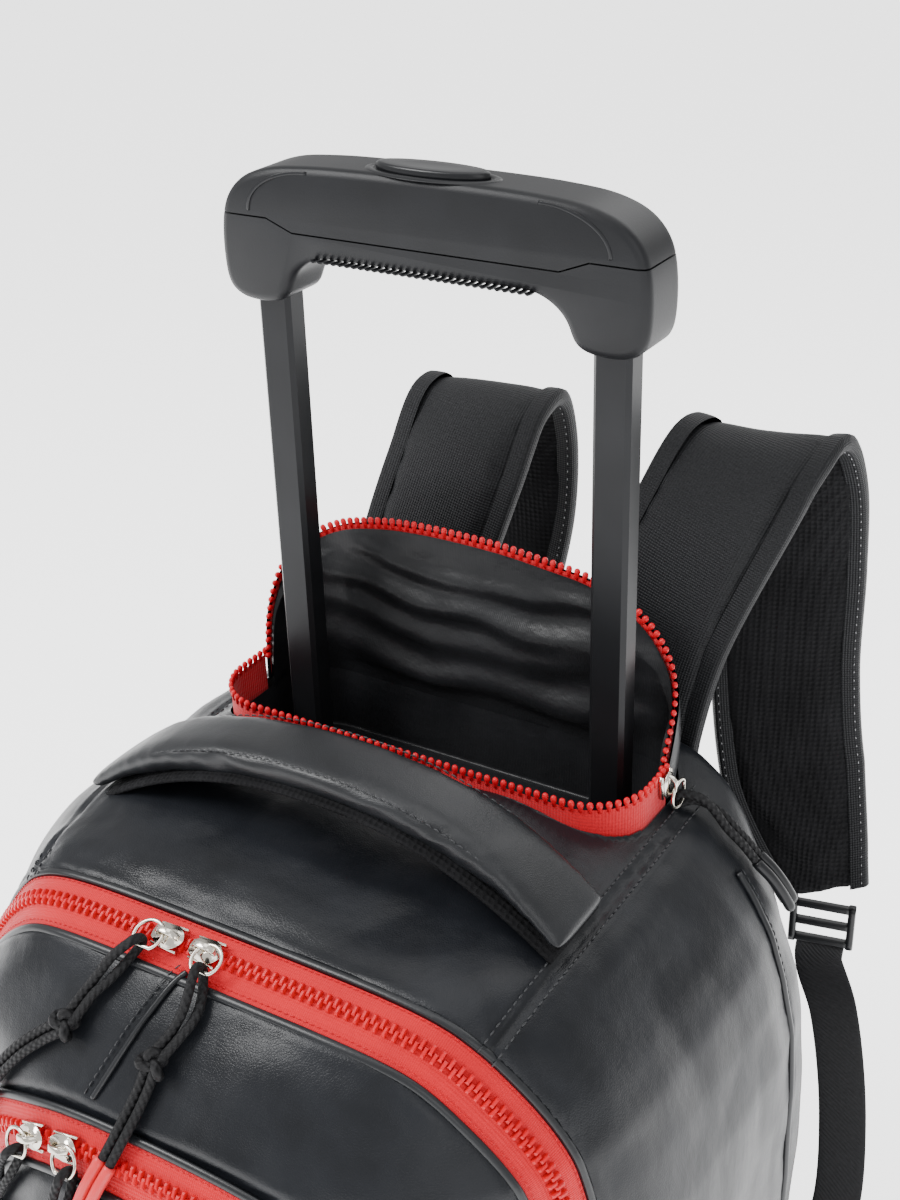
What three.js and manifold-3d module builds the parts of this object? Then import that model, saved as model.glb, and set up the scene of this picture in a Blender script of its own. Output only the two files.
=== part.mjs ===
// Wheeled backpack: a soft padded body with a zipped trolley pouch on top, a two-tube
// pull handle, two shoulder straps, a padded carry handle, and two wheels at the back.
// Millimetres, +Z up, -Y is the front. While it is drawn, y = 0 is the plane of the handle's
// tubes and z = 0 is the floor. At the end the model is centred on its own footprint.

import * as THREE from 'three';
import { mergeVertices } from 'three/addons/utils/BufferGeometryUtils.js';
import Module from 'manifold-3d';

const wasm = await Module();
wasm.setup();

// Clearance between two pieces that touch on the real bag.
const gap = 0.3;

// Soft body
const bodyHalfWidth = 178;
const bodyFront = 262;
const bodyBack = 48;
const bodyBottom = 45;
const bodyTop = 461;
const bodyMiddle = 60;
const clothWall = 2.5;

// Zips
const zipBand = 24;
const zipThick = 2.2;
const zipProud = 0.6;
const chainRise = 1.2;

// Pull handle. Its grip's heights are measured up from the grip's rim.
const tubeSpacing = 164;
const tubeWidth = 17;
const tubeDepth = 13.2;
const tubeWall = 1.1;
const tubeChamfer = 2;
const fixedTubeWall = 1.4;
const tubeEngaged = 77;
const fixedTubeProud = 6;
const handleTravel = 200;
const gripSunk = 5;
const gripHeight = 61;
const gripPartingHeight = 32;
const gripPartingKink = 5;
const gripOpening = 22;
const gripDepth = 29;
const gripLegHalfWidth = 16;
const gripShoulder = 3;
const gripHalfWidth = tubeSpacing / 2 + gripLegHalfWidth + gripShoulder;
const gripChamfer = 4;
const socketDepth = 18;
const buttonWidth = 54;
const buttonDepth = 20;
const buttonSetback = 2;
const buttonProud = 3.2;
const buttonSunk = 3;
const buttonTravel = 2.6;
const buttonClearance = 0.5;

// Trolley pouch: a well in the top panel, wide enough for the grip, with a flap that stands up
// behind it
const gripClearance = 8.5;
const wellHalfWidth = gripHalfWidth + gripClearance;
const wellFront = 46;
const wellBack = 34;
const wellCorner = 28;
const wellDepth = 46;
const flapHeight = 74;
const flapInset = 1;
const flapCorner = 44;
const flapThick = 2;
const flapRoot = 5;
const liningThick = 1.5;
const pouchTapeHeight = 12;
const frontTapeRise = 7;
const pouchOverlap = 4;
const teethRise = 3;

// Carry handle
const carrySpan = 236;
const carryWidth = 42;
const carryThick = 13;
const carryRise = 40;
const carrySetback = 100;
const carryLiningThick = 1.5;
const carryLiningShare = 0.94;
const carryPinch = 0.45;
const carryArch = 2.2;
const carrySeatInset = 4;

// Shoulder straps
const strapWidth = 73;
const strapThick = 11;
const strapReach = 85;
const webWidth = 25;
const webThick = 2;
const lockWidth = 34;
const lockHeight = 26;
const lockThick = 5;

// Base, wheels and feet
const wheelRadius = 35;
const wheelWidth = 24;
const wheelOffset = 148;
const wheelBack = 18;
const axleRadius = 4;
const axleClearance = 0.3;
const wheelSideGap = 2;
const wheelArchGap = 5;
const archBehindAxle = 14;
const mouldingWall = 2.6;
const basePlateThick = 5;
const footWidth = 46;
const footDepth = 30;
const footOffset = 105;
const footSetback = 72;

// Back pad
const padHalfWidth = 125;
const padAboveBottom = 67;
const padBelowTop = 46;
const padThick = 10;

// Sliders, rings and pull cords
const sliderLength = 15;
const sliderWidth = 10.5;
const sliderThick = 2;
const sliderWall = 1;
const bridgeHalf = 4.8;
const bridgePost = 1.2;
const bridgeBar = 1.5;
const ringRadius = 6.5;
const ringWire = 1.6;
const ringLift = 1.6;
const cordDiameter = 4;
const tipDiameter = 5;
const knotHeight = 13;
const knotThick = 2;
const knotClearance = 2;
const loopClearance = 0.8;

// The body's cross-sections from the bottom to the crown. up is the share of the body's height,
// wide, front and back are shares of its half width, front and back, and frontRound and
// backRound are how square the two halves of the outline are (2 is an ellipse).
const bodySections = [
  { up: 0, wide: 0.84, front: 0.86, back: 0.8, frontRound: 3.2, backRound: 4 },
  { up: 0.03, wide: 0.92, front: 0.93, back: 0.95, frontRound: 3, backRound: 5 },
  { up: 0.13, wide: 0.965, front: 0.98, back: 1, frontRound: 2.8, backRound: 6 },
  { up: 0.32, wide: 0.99, front: 1, back: 1, frontRound: 2.5, backRound: 6 },
  { up: 0.52, wide: 1, front: 1, back: 1, frontRound: 2.3, backRound: 6 },
  { up: 0.64, wide: 0.995, front: 0.982, back: 1, frontRound: 2.2, backRound: 6 },
  { up: 0.72, wide: 0.98, front: 0.952, back: 1, frontRound: 2.25, backRound: 6 },
  { up: 0.79, wide: 0.945, front: 0.908, back: 1, frontRound: 2.5, backRound: 6 },
  { up: 0.84, wide: 0.905, front: 0.864, back: 1, frontRound: 2.8, backRound: 6.5 },
  { up: 0.88, wide: 0.85, front: 0.818, back: 1, frontRound: 3, backRound: 7 },
  { up: 0.915, wide: 0.785, front: 0.775, back: 1, frontRound: 3.4, backRound: 8 },
  { up: 0.945, wide: 0.72, front: 0.73, back: 0.99, frontRound: 4, backRound: 8 },
  { up: 0.966, wide: 0.65, front: 0.67, back: 0.95, frontRound: 5, backRound: 8 },
  { up: 0.982, wide: 0.53, front: 0.59, back: 0.86, frontRound: 5, backRound: 7 },
  { up: 0.994, wide: 0.34, front: 0.48, back: 0.66, frontRound: 4, backRound: 5 },
];

// Side view of the two arched zips on the body: down is how far below the crown, ahead how far
// in front of the tubes, as shares of the body's height and front.
const mainZipLine = [
  { down: -0.1, ahead: 0.72 },
  { down: 0.035, ahead: 0.678 },
  { down: 0.08, ahead: 0.664 },
  { down: 0.14, ahead: 0.645 },
  { down: 0.3, ahead: 0.63 },
  { down: 0.55, ahead: 0.62 },
  { down: 0.85, ahead: 0.62 },
];
const pocketZipLine = [
  { down: 0.08, ahead: 0.95 },
  { down: 0.17, ahead: 0.908 },
  { down: 0.21, ahead: 0.89 },
  { down: 0.255, ahead: 0.86 },
  { down: 0.37, ahead: 0.815 },
  { down: 0.55, ahead: 0.795 },
  { down: 0.83, ahead: 0.79 },
];

const materials = {
  leather: new THREE.MeshStandardMaterial({ color: 0x17181b, roughness: 0.42, metalness: 0 }),
  zipRed: new THREE.MeshStandardMaterial({ color: 0xe0323a, roughness: 0.6, metalness: 0 }),
  nylon: new THREE.MeshStandardMaterial({ color: 0x141416, roughness: 0.5, metalness: 0 }),
  mesh: new THREE.MeshStandardMaterial({ color: 0x101012, roughness: 0.9, metalness: 0 }),
  webbing: new THREE.MeshStandardMaterial({ color: 0x121214, roughness: 0.75, metalness: 0 }),
  plastic: new THREE.MeshStandardMaterial({ color: 0x161719, roughness: 0.45, metalness: 0 }),
  tube: new THREE.MeshStandardMaterial({ color: 0x0e0e10, roughness: 0.35, metalness: 0.6 }),
  tyre: new THREE.MeshStandardMaterial({ color: 0x1a1a1c, roughness: 0.7, metalness: 0 }),
  steel: new THREE.MeshStandardMaterial({ color: 0xc8c9cc, roughness: 0.2, metalness: 1 }),
  cord: new THREE.MeshStandardMaterial({ color: 0x0d0d0e, roughness: 0.8, metalness: 0 }),
};

const model = new THREE.Group();
const cordGroup = new THREE.Group();

function addPiece(name, geometry, material, parent = model) {
  const mesh = new THREE.Mesh(geometry, material);
  mesh.name = name;
  parent.add(mesh);
  return mesh;
}

// Solids, joins and cuts

function toSolid(geometry) {
  const bare = geometry.index ? geometry.clone() : geometry;
  bare.deleteAttribute('normal');
  bare.deleteAttribute('uv');
  const merged = mergeVertices(bare, 1e-4);
  return new wasm.Manifold(new wasm.Mesh({
    numProp: 3,
    vertProperties: new Float32Array(merged.attributes.position.array),
    triVerts: new Uint32Array(merged.index.array),
  }));
}

function toGeometry(solid) {
  const mesh = solid.getMesh();
  const geometry = new THREE.BufferGeometry();
  geometry.setAttribute('position', new THREE.BufferAttribute(mesh.vertProperties, 3));
  geometry.setIndex(new THREE.BufferAttribute(mesh.triVerts, 1));
  geometry.computeVertexNormals();
  return geometry;
}

function box(minX, maxX, minY, maxY, minZ, maxZ) {
  const geometry = new THREE.BoxGeometry(maxX - minX, maxY - minY, maxZ - minZ);
  geometry.translate((minX + maxX) / 2, (minY + maxY) / 2, (minZ + maxZ) / 2);
  return toSolid(geometry);
}

// A closed skin over rings of equal point counts, each ring counter-clockwise seen from its end.
function loftGeometry(rings) {
  const count = rings[0].length;
  const positions = rings.flat().flatMap((p) => [p.x, p.y, p.z]);
  const index = [];
  for (let row = 0; row + 1 < rings.length; row += 1) {
    for (let i = 0; i < count; i += 1) {
      const a = row * count + i;
      const b = row * count + ((i + 1) % count);
      index.push(a, b, b + count, a, b + count, a + count);
    }
  }
  for (const [row, turned] of [[0, true], [rings.length - 1, false]]) {
    const centre = new THREE.Vector3();
    rings[row].forEach((p) => centre.add(p));
    centre.divideScalar(count);
    const hub = positions.length / 3;
    positions.push(centre.x, centre.y, centre.z);
    for (let i = 0; i < count; i += 1) {
      const a = row * count + i;
      const b = row * count + ((i + 1) % count);
      index.push(...(turned ? [hub, b, a] : [hub, a, b]));
    }
  }
  const geometry = new THREE.BufferGeometry();
  geometry.setAttribute('position', new THREE.Float32BufferAttribute(positions, 3));
  geometry.setIndex(index);
  geometry.computeVertexNormals();
  return geometry;
}

// Outline drawn in the X-Z plane, seen from the front, and made solid from backY to frontY.
function frontPlate(shape, frontY, backY, curveSegments = 8) {
  const geometry = new THREE.ExtrudeGeometry(shape, {
    depth: backY - frontY, bevelEnabled: false, curveSegments,
  });
  geometry.rotateX(Math.PI / 2);
  geometry.translate(0, backY, 0);
  return geometry;
}

// Outline drawn in the Y-Z plane, seen from the side, and made solid across the whole bag.
function sideSolid(points) {
  const shape = new THREE.Shape(points.map((p) => new THREE.Vector2(p.y, p.z)));
  const reach = bodyHalfWidth * 1.5;
  const geometry = new THREE.ExtrudeGeometry(shape, { depth: 2 * reach, bevelEnabled: false });
  geometry.applyMatrix4(new THREE.Matrix4().set(0, 0, 1, -reach, 1, 0, 0, 0, 0, 1, 0, 0, 0, 0, 0, 1));
  return toSolid(geometry);
}

// Body surface

const outerPoints = 32;
const innerPoints = 20;
const innerRows = [0, 1, 3, 5, 7, 9, 11, 13, 14];

function interpolateSection(up) {
  const last = bodySections.length - 1;
  let i = 0;
  while (i < last - 1 && bodySections[i + 1].up < up) i += 1;
  const low = bodySections[i];
  const high = bodySections[i + 1];
  const share = (up - low.up) / (high.up - low.up);
  const mix = {};
  for (const key of Object.keys(low)) mix[key] = low[key] + (high[key] - low[key]) * share;
  return mix;
}

// The body's outline at one section, inset from the outer face by the given depth.
function bodyRing(section, inset, ringPoints) {
  const bottom = bodyBottom + inset;
  const top = bodyTop - inset;
  const width = section.wide * bodyHalfWidth - inset;
  const front = section.front * bodyFront - bodyMiddle - inset;
  const back = section.back * bodyBack + bodyMiddle - inset;
  const ring = [];
  for (let i = 0; i < ringPoints; i += 1) {
    const angle = (2 * Math.PI * i) / ringPoints;
    const s = Math.sin(angle);
    const c = Math.cos(angle);
    const round = s < 0 ? section.frontRound : section.backRound;
    const x = width * Math.sign(c) * Math.abs(c) ** (2 / round);
    const y = (s < 0 ? front : back) * Math.sign(s) * Math.abs(s) ** (2 / round) - bodyMiddle;
    ring.push(new THREE.Vector3(x, y, bottom + section.up * (top - bottom)));
  }
  return ring;
}

// The inner faces have fewer points: their flats lie further in, so the wall never gets thin.
function bodyLoft(inset) {
  const isInner = inset > 0;
  const sections = isInner ? innerRows.map((row) => bodySections[row]) : bodySections;
  const rings = sections.map((section) => bodyRing(section, inset, isInner ? innerPoints : outerPoints));
  const crown = new THREE.Vector3(0, -bodyMiddle, bodyTop - inset);
  const geometry = loftGeometry(rings);
  const hub = geometry.attributes.position.count - 1;
  geometry.attributes.position.setXYZ(hub, crown.x, crown.y, crown.z);
  return toSolid(geometry);
}

// How far outside (positive) or inside (negative) the outline at its height a point lies.
function outsideBody(x, y, z) {
  const section = interpolateSection((z - bodyBottom) / (bodyTop - bodyBottom));
  const isFront = y < -bodyMiddle;
  const width = section.wide * bodyHalfWidth;
  const depth = isFront ? section.front * bodyFront - bodyMiddle : section.back * bodyBack + bodyMiddle;
  const round = isFront ? section.frontRound : section.backRound;
  return (Math.abs(x) / width) ** round + (Math.abs(y + bodyMiddle) / depth) ** round - 1;
}

function findEdge(isOutside, inside, outside) {
  let near = inside;
  let far = outside;
  for (let i = 0; i < 40; i += 1) {
    const middle = (near + far) / 2;
    if (isOutside(middle)) far = middle;
    else near = middle;
  }
  return near;
}

function topAt(x, y) {
  return findEdge((z) => outsideBody(x, y, z) > 0, bodyBottom + 0.6 * (bodyTop - bodyBottom), bodyTop);
}

// Zip lines

function zipLinePoints(line, shiftAhead = 0) {
  return line.map((p) => ({
    y: -p.ahead * bodyFront - shiftAhead,
    z: bodyTop - p.down * (bodyTop - bodyBottom),
  }));
}

// The band of the given half width round a zip line, as an outline in the Y-Z plane.
function zipBandOutline(line, halfWidth) {
  const points = zipLinePoints(line);
  const sides = [[], []];
  points.forEach((p, i) => {
    const before = points[Math.max(i - 1, 0)];
    const after = points[Math.min(i + 1, points.length - 1)];
    const length = Math.hypot(after.y - before.y, after.z - before.z);
    const acrossY = (after.z - before.z) / length;
    const acrossZ = -(after.y - before.y) / length;
    sides[0].push({ y: p.y + acrossY * halfWidth, z: p.z + acrossZ * halfWidth });
    sides[1].push({ y: p.y - acrossY * halfWidth, z: p.z - acrossZ * halfWidth });
  });
  return [...sides[0], ...sides[1].reverse()];
}

// Everything in front of a zip line, moved back by the given distance, down to the given height.
function aheadOfZip(line, moveBack, floorZ) {
  const points = zipLinePoints(line, -moveBack).filter((p) => p.z > floorZ).reverse();
  const far = -bodyFront * 1.5;
  return sideSolid([
    { y: far, z: floorZ }, { y: points[0].y, z: floorZ }, ...points, { y: far, z: points.at(-1).z },
  ].reverse());
}

// A point of the body's surface on a zip line, at the given x, with its outward normal.
function zipPoint(line, x) {
  const points = zipLinePoints(line);
  const lineY = (z) => {
    let i = 0;
    while (i < points.length - 2 && points[i + 1].z > z) i += 1;
    const share = (z - points[i].z) / (points[i + 1].z - points[i].z);
    return points[i].y + (points[i + 1].y - points[i].y) * share;
  };
  const z = findEdge((h) => outsideBody(x, lineY(h), h) > 0, bodyTop - 0.5 * (bodyTop - bodyBottom), bodyTop);
  const point = new THREE.Vector3(x, lineY(z), z);
  const step = 1;
  const slope = (dx, dy, dz) => outsideBody(point.x + dx, point.y + dy, point.z + dz)
    - outsideBody(point.x - dx, point.y - dy, point.z - dz);
  const normal = new THREE.Vector3(slope(step, 0, 0), slope(0, step, 0), slope(0, 0, step)).normalize();
  return { point, normal };
}

// How far the nearest of some points can go the given way before it meets a piece, less one
// clearance.
function roomTo(mesh, points, way) {
  const ray = new THREE.Raycaster();
  let room = Infinity;
  for (const point of points) {
    ray.set(point, way);
    const hit = ray.intersectObject(mesh)[0];
    if (hit) room = Math.min(room, hit.distance);
  }
  return room - gap;
}

// Body, pocket and their zips

const outerBody = bodyLoft(0);
const innerBody = bodyLoft(clothWall);
const slotHalf = zipBand / 2 + gap;
const pocketFloor = bodyBottom + 0.06 * (bodyTop - bodyBottom);
const pocketSetback = slotHalf + clothWall;

function wellOutline(inset, curveSegments = 6) {
  const halfWidth = wellHalfWidth - inset;
  const front = -wellFront + inset;
  const back = wellBack - inset;
  const corner = wellCorner - inset;
  const shape = new THREE.Shape();
  shape.moveTo(-halfWidth + corner, front);
  shape.lineTo(halfWidth - corner, front);
  shape.absarc(halfWidth - corner, front + corner, corner, -Math.PI / 2, 0, false);
  shape.lineTo(halfWidth, back - corner);
  shape.absarc(halfWidth - corner, back - corner, corner, 0, Math.PI / 2, false);
  shape.lineTo(-halfWidth + corner, back);
  shape.absarc(-halfWidth + corner, back - corner, corner, Math.PI / 2, Math.PI, false);
  shape.lineTo(-halfWidth, front + corner);
  shape.absarc(-halfWidth + corner, front + corner, corner, Math.PI, Math.PI * 1.5, false);
  return shape.extractPoints(curveSegments).shape;
}

function wellSolid(inset, fromZ, toZ) {
  const geometry = new THREE.ExtrudeGeometry(new THREE.Shape(wellOutline(inset)), {
    depth: toZ - fromZ, bevelEnabled: false,
  });
  geometry.translate(0, 0, fromZ);
  return toSolid(geometry);
}

const wheelInner = wheelOffset - wheelWidth / 2 - wheelSideGap;
const wheelOuter = wheelOffset + wheelWidth / 2 + wheelSideGap;
const archTop = 2 * wheelRadius + wheelArchGap;
const archFront = wheelBack - wheelRadius - wheelArchGap;

// The room taken out of the body's lower corners for a wheel and its moulded arch.
function archRoom(side, grow) {
  const inner = wheelInner - mouldingWall - grow;
  const reach = bodyHalfWidth * 1.3;
  const minX = side > 0 ? inner : -reach;
  const maxX = side > 0 ? reach : -inner;
  return box(minX, maxX, archFront - mouldingWall - grow, bodyBack * 2, -1, archTop + mouldingWall + grow);
}

function bothSides(make) {
  return make(-1).add(make(1));
}

const archRooms = bothSides((side) => archRoom(side, gap));
const archRoomsInside = bothSides((side) => archRoom(side, gap + clothWall));
const pocketRoom = aheadOfZip(pocketZipLine, pocketSetback, pocketFloor);
const pocketRoomWide = aheadOfZip(pocketZipLine, pocketSetback + clothWall, pocketFloor - clothWall);
const mainSlot = sideSolid(zipBandOutline(mainZipLine, slotHalf));
const pocketSlot = sideSolid(zipBandOutline(pocketZipLine, slotHalf));

const shellOutside = outerBody.subtract(archRooms).subtract(pocketRoom);
const shellInside = innerBody.subtract(archRoomsInside).subtract(pocketRoomWide);
const wellCut = wellSolid(0, bodyTop - wellDepth - 20, bodyTop + 20);
const bagShell = shellOutside.subtract(shellInside).subtract(mainSlot).subtract(wellCut);
const shellMesh = addPiece('bag_shell', toGeometry(bagShell), materials.leather);

const pocketOutside = outerBody.intersect(
  aheadOfZip(pocketZipLine, pocketSetback - gap, pocketFloor + gap),
);
const pocketInside = innerBody.intersect(
  aheadOfZip(pocketZipLine, pocketSetback - gap - clothWall, pocketFloor + gap + clothWall),
);
const frontPocket = pocketOutside.subtract(pocketInside).subtract(pocketSlot);
addPiece('front_pocket', toGeometry(frontPocket), materials.leather);

const zipSkin = bodyLoft(-zipProud).subtract(bodyLoft(zipThick - zipProud));

function zipTape(name, line) {
  const tape = zipSkin.intersect(sideSolid(zipBandOutline(line, zipBand / 2)));
  return addPiece(name, toGeometry(tape), materials.zipRed);
}

const mainZip = zipTape('main_zip', mainZipLine);
const pocketZip = zipTape('pocket_zip', pocketZipLine);

// Trolley pouch

const wellFloor = bodyTop - wellDepth;
const flapBase = bodyTop - flapRoot;
const flapTop = bodyTop + flapHeight;
const wallFoot = topAt(wellHalfWidth, 0) - pouchOverlap;

// The flap's outline seen from the front, grown outward by the given amount.
function flapOutline(grow) {
  const halfWidth = wellHalfWidth - flapInset + grow;
  const top = flapTop + grow;
  const corner = flapCorner + grow;
  const shape = new THREE.Shape();
  shape.moveTo(-halfWidth, flapBase - 1);
  shape.lineTo(halfWidth, flapBase - 1);
  shape.lineTo(halfWidth, top - corner);
  shape.absarc(halfWidth - corner, top - corner, corner, 0, Math.PI / 2, false);
  shape.lineTo(-halfWidth + corner, top);
  shape.absarc(-halfWidth + corner, top - corner, corner, Math.PI / 2, Math.PI, false);
  return new THREE.Shape(shape.extractPoints(8).shape);
}

const flapWindow = toSolid(frontPlate(flapOutline(0), 2, wellBack * 2));

// A block as wide as the pouch, from one depth to another, over all heights above the given one.
function pouchBlock(frontY, backY, fromZ) {
  return box(-wellHalfWidth * 2, wellHalfWidth * 2, frontY, backY, fromZ, flapTop * 2);
}

function pouchWall(outerInset, thick, fromZ, toZ) {
  return wellSolid(outerInset, fromZ, toZ).subtract(wellSolid(outerInset + thick, fromZ - 1, toZ + 1));
}

const flapWall = pouchWall(gap, flapThick, wallFoot, flapTop * 2).intersect(flapWindow);
addPiece('trolley_flap', toGeometry(flapWall), materials.leather);

function tubeSection(width, depth, chamfer) {
  const x = width / 2;
  const y = depth / 2;
  return new THREE.Shape([
    new THREE.Vector2(-x + chamfer, -y), new THREE.Vector2(x - chamfer, -y),
    new THREE.Vector2(x, -y + chamfer), new THREE.Vector2(x, y - chamfer),
    new THREE.Vector2(x - chamfer, y), new THREE.Vector2(-x + chamfer, y),
    new THREE.Vector2(-x, y - chamfer), new THREE.Vector2(-x, -y + chamfer),
  ]);
}

function upright(shape, x, fromZ, toZ) {
  const geometry = new THREE.ExtrudeGeometry(shape, { depth: toZ - fromZ, bevelEnabled: false });
  geometry.translate(x, 0, fromZ);
  return toSolid(geometry);
}

const fixedOuterWidth = tubeWidth + 2 * (gap + fixedTubeWall);
const fixedOuterDepth = tubeDepth + 2 * (gap + fixedTubeWall);

function tubeHoles(fromZ, toZ) {
  return bothSides((side) => upright(
    tubeSection(fixedOuterWidth + 2 * gap, fixedOuterDepth + 2 * gap, tubeChamfer),
    (side * tubeSpacing) / 2, fromZ, toZ,
  ));
}

const liningInset = gap + flapThick + gap;
const liningBlock = wellSolid(liningInset, wellFloor, flapTop - 1);
const liningHollow = wellSolid(liningInset + liningThick, wellFloor + liningThick, flapTop + 1);
const liningFront = pouchBlock(-wellFront * 2, 2, flapBase);
const liningBack = toSolid(frontPlate(flapOutline(-1), 1, wellBack * 2)).add(
  box(-wellHalfWidth, wellHalfWidth, -wellFront, wellBack, wellFloor - 1, flapBase),
);
const pouchLining = liningBlock.subtract(liningHollow).subtract(liningFront).intersect(liningBack)
  .subtract(tubeHoles(wellFloor - 1, wellFloor + 10));
addPiece('pouch_lining', toGeometry(pouchLining), materials.nylon);

const backZipInset = liningInset + liningThick + gap;
const backZipFoot = bodyTop + frontTapeRise + 2;
const backZipWindow = toSolid(frontPlate(flapOutline(teethRise), 4, wellBack * 2))
  .subtract(toSolid(frontPlate(flapOutline(-pouchTapeHeight), 1, wellBack * 3)));
const backZipWall = pouchWall(backZipInset, zipThick, backZipFoot, flapTop * 2).intersect(backZipWindow);
addPiece('trolley_zip_back', toGeometry(backZipWall), materials.zipRed);

const frontZipTop = bodyTop + frontTapeRise;
const frontZipEnd = 1;
const frontZipWall = pouchWall(gap, flapThick, wallFoot, frontZipTop)
  .subtract(pouchBlock(frontZipEnd, wellBack * 2, 0));
addPiece('trolley_zip_front', toGeometry(frontZipWall), materials.zipRed);

const thinStrip = 3;

// A flat strip or pad along a path. Each station has a centre, the direction of its width,
// the direction of its outer face, and its width and thickness.
function stripGeometry(stations) {
  const rings = stations.map((s) => {
    const across = s.across.clone().normalize();
    const out = s.out.clone().addScaledVector(across, -s.out.dot(across)).normalize();
    const w = s.width / 2;
    const t = s.thick / 2;
    const r = t * 0.7;
    const square = [[-w, -t], [w, -t], [w, t], [-w, t]];
    const rounded = [
      [-w, -t + r], [-w + r, -t], [w - r, -t], [w, -t + r],
      [w, t - r], [w - r, t], [-w + r, t], [-w, t - r],
    ];
    const corners = s.thick < thinStrip ? square : rounded;
    return corners.map(([a, b]) => s.centre.clone().addScaledVector(across, a).addScaledVector(out, b));
  });
  return loftGeometry(rings);
}

function pointsOf(geometry) {
  const positions = geometry.attributes.position;
  const points = [];
  for (let i = 0; i < positions.count; i += 1) {
    points.push(new THREE.Vector3().fromBufferAttribute(positions, i));
  }
  return points;
}

const widthSamples = 10;

// Points all over a strip's faces, across its whole width.
function acrossPoints(stations) {
  const points = [];
  for (let i = 1; i <= widthSamples; i += 1) {
    const narrowed = stations.map((s) => ({ ...s, width: (s.width * i) / widthSamples }));
    points.push(...pointsOf(stripGeometry(narrowed)));
  }
  return points;
}

// Carry handle: an arched pad over the top panel, its ends sewn in at the two top seams.
const carrySteps = 12;

function carryStations(width, thick, drop, steps = carrySteps) {
  const stations = [];
  for (let i = 0; i <= steps; i += 1) {
    const share = (2 * i) / steps - 1;
    const x = (share * carrySpan) / 2;
    const arch = 1 - Math.abs(share) ** carryArch;
    const pinch = carryPinch + (1 - carryPinch) * Math.min(1, 3 * (1 - Math.abs(share)));
    const seat = topAt(carrySpan / 2 - carrySeatInset, -carrySetback) + gap + carryLiningThick + gap;
    const fall = carryArch * Math.abs(share) ** (carryArch - 1) * Math.sign(share);
    const slope = (-fall * carryRise) / (carrySpan / 2);
    const half = (carryThick * pinch) / 2;
    const out = new THREE.Vector3(-slope, 0, 1).normalize();
    const centre = new THREE.Vector3(x, -carrySetback, seat + half + arch * carryRise);
    centre.addScaledVector(out, drop * (half + gap + carryLiningThick / 2));
    stations.push({
      centre,
      across: new THREE.Vector3(0, 1, 0),
      out,
      width,
      thick: thick * (drop ? 1 : pinch),
    });
  }
  return stations;
}

const carryPad = stripGeometry(carryStations(carryWidth, carryThick, 0));
const carryLining = stripGeometry(carryStations(carryWidth * carryLiningShare, carryLiningThick, -1));
const down = new THREE.Vector3(0, 0, -1);
const seatSamples = 6;
const carryDrop = roomTo(shellMesh, acrossPoints(
  carryStations(carryWidth * carryLiningShare, carryLiningThick, -1, carrySteps * seatSamples),
), down);
addPiece('carry_handle', carryPad.translate(0, 0, -carryDrop), materials.leather);
addPiece('carry_handle_lining', carryLining.translate(0, 0, -carryDrop), materials.mesh);

// Back pad
const padBottom = bodyBottom + padAboveBottom;
const padTop = bodyTop - padBelowTop;
const padShape = new THREE.Shape();
padShape.moveTo(-padHalfWidth, padBottom);
padShape.lineTo(padHalfWidth, padBottom);
padShape.lineTo(padHalfWidth * 0.94, padTop * 0.88);
padShape.quadraticCurveTo(padHalfWidth * 0.92, padTop, padHalfWidth * 0.7, padTop);
padShape.lineTo(-padHalfWidth * 0.7, padTop);
padShape.quadraticCurveTo(-padHalfWidth * 0.92, padTop, -padHalfWidth * 0.94, padTop * 0.88);
addPiece('back_pad', frontPlate(padShape, bodyBack + gap, bodyBack + gap + padThick), materials.mesh);

// Shoulder straps, as the path of the strap's own middle. across is a share of the body's half
// width, behind is how far behind the body's back as a share of the strap's reach, and high is a
// share of the body's height from its bottom. lean turns the strap's width, in degrees.
const strapSeat = (gap + strapThick / 2) / strapReach;
const rightStrap = [
  { across: 0.354, behind: strapSeat, high: 0.921, lean: 0 },
  { across: 0.365, behind: strapSeat + 0.012, high: 0.978, lean: 0 },
  { across: 0.416, behind: 0.153, high: 1.094, lean: 2 },
  { across: 0.517, behind: 0.33, high: 1.219, lean: 4 },
  { across: 0.579, behind: 0.506, high: 1.286, lean: 6 },
  { across: 0.607, behind: 0.706, high: 1.293, lean: 8 },
  { across: 0.624, behind: 0.87, high: 1.238, lean: 12 },
  { across: 0.629, behind: 0.976, high: 1.118, lean: 18 },
  { across: 0.635, behind: 1, high: 0.974, lean: 24 },
  { across: 0.68, behind: 0.988, high: 0.841, lean: 22 },
  { across: 0.77, behind: 0.941, high: 0.733, lean: 16 },
  { across: 0.82, behind: 0.894, high: 0.688, lean: 12 },
];
const leftStrap = [
  { across: -0.354, behind: strapSeat, high: 0.921, lean: 0 },
  { across: -0.343, behind: strapSeat + 0.012, high: 0.978, lean: 0 },
  { across: -0.303, behind: 0.153, high: 1.094, lean: 2 },
  { across: -0.236, behind: 0.33, high: 1.219, lean: 4 },
  { across: -0.208, behind: 0.506, high: 1.286, lean: 6 },
  { across: -0.202, behind: 0.706, high: 1.293, lean: 6 },
  { across: -0.208, behind: 0.87, high: 1.238, lean: 4 },
  { across: -0.236, behind: 0.976, high: 1.118, lean: 0 },
  { across: -0.326, behind: 1, high: 0.974, lean: -6 },
  { across: -0.528, behind: 0.988, high: 0.841, lean: -10 },
  { across: -0.742, behind: 0.941, high: 0.733, lean: -12 },
  { across: -0.82, behind: 0.894, high: 0.688, lean: -12 },
];
const strapTaperFrom = 0.84;
const strapTaper = 0.36;
const strapSteps = 20;

// A row of a strap's or webbing's path in millimetres, mirrored where side is -1.
function pathPoint(row, side = 1) {
  return new THREE.Vector3(
    side * row.across * bodyHalfWidth,
    bodyBack + row.behind * strapReach,
    bodyBottom + row.high * (bodyTop - bodyBottom),
  );
}

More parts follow.
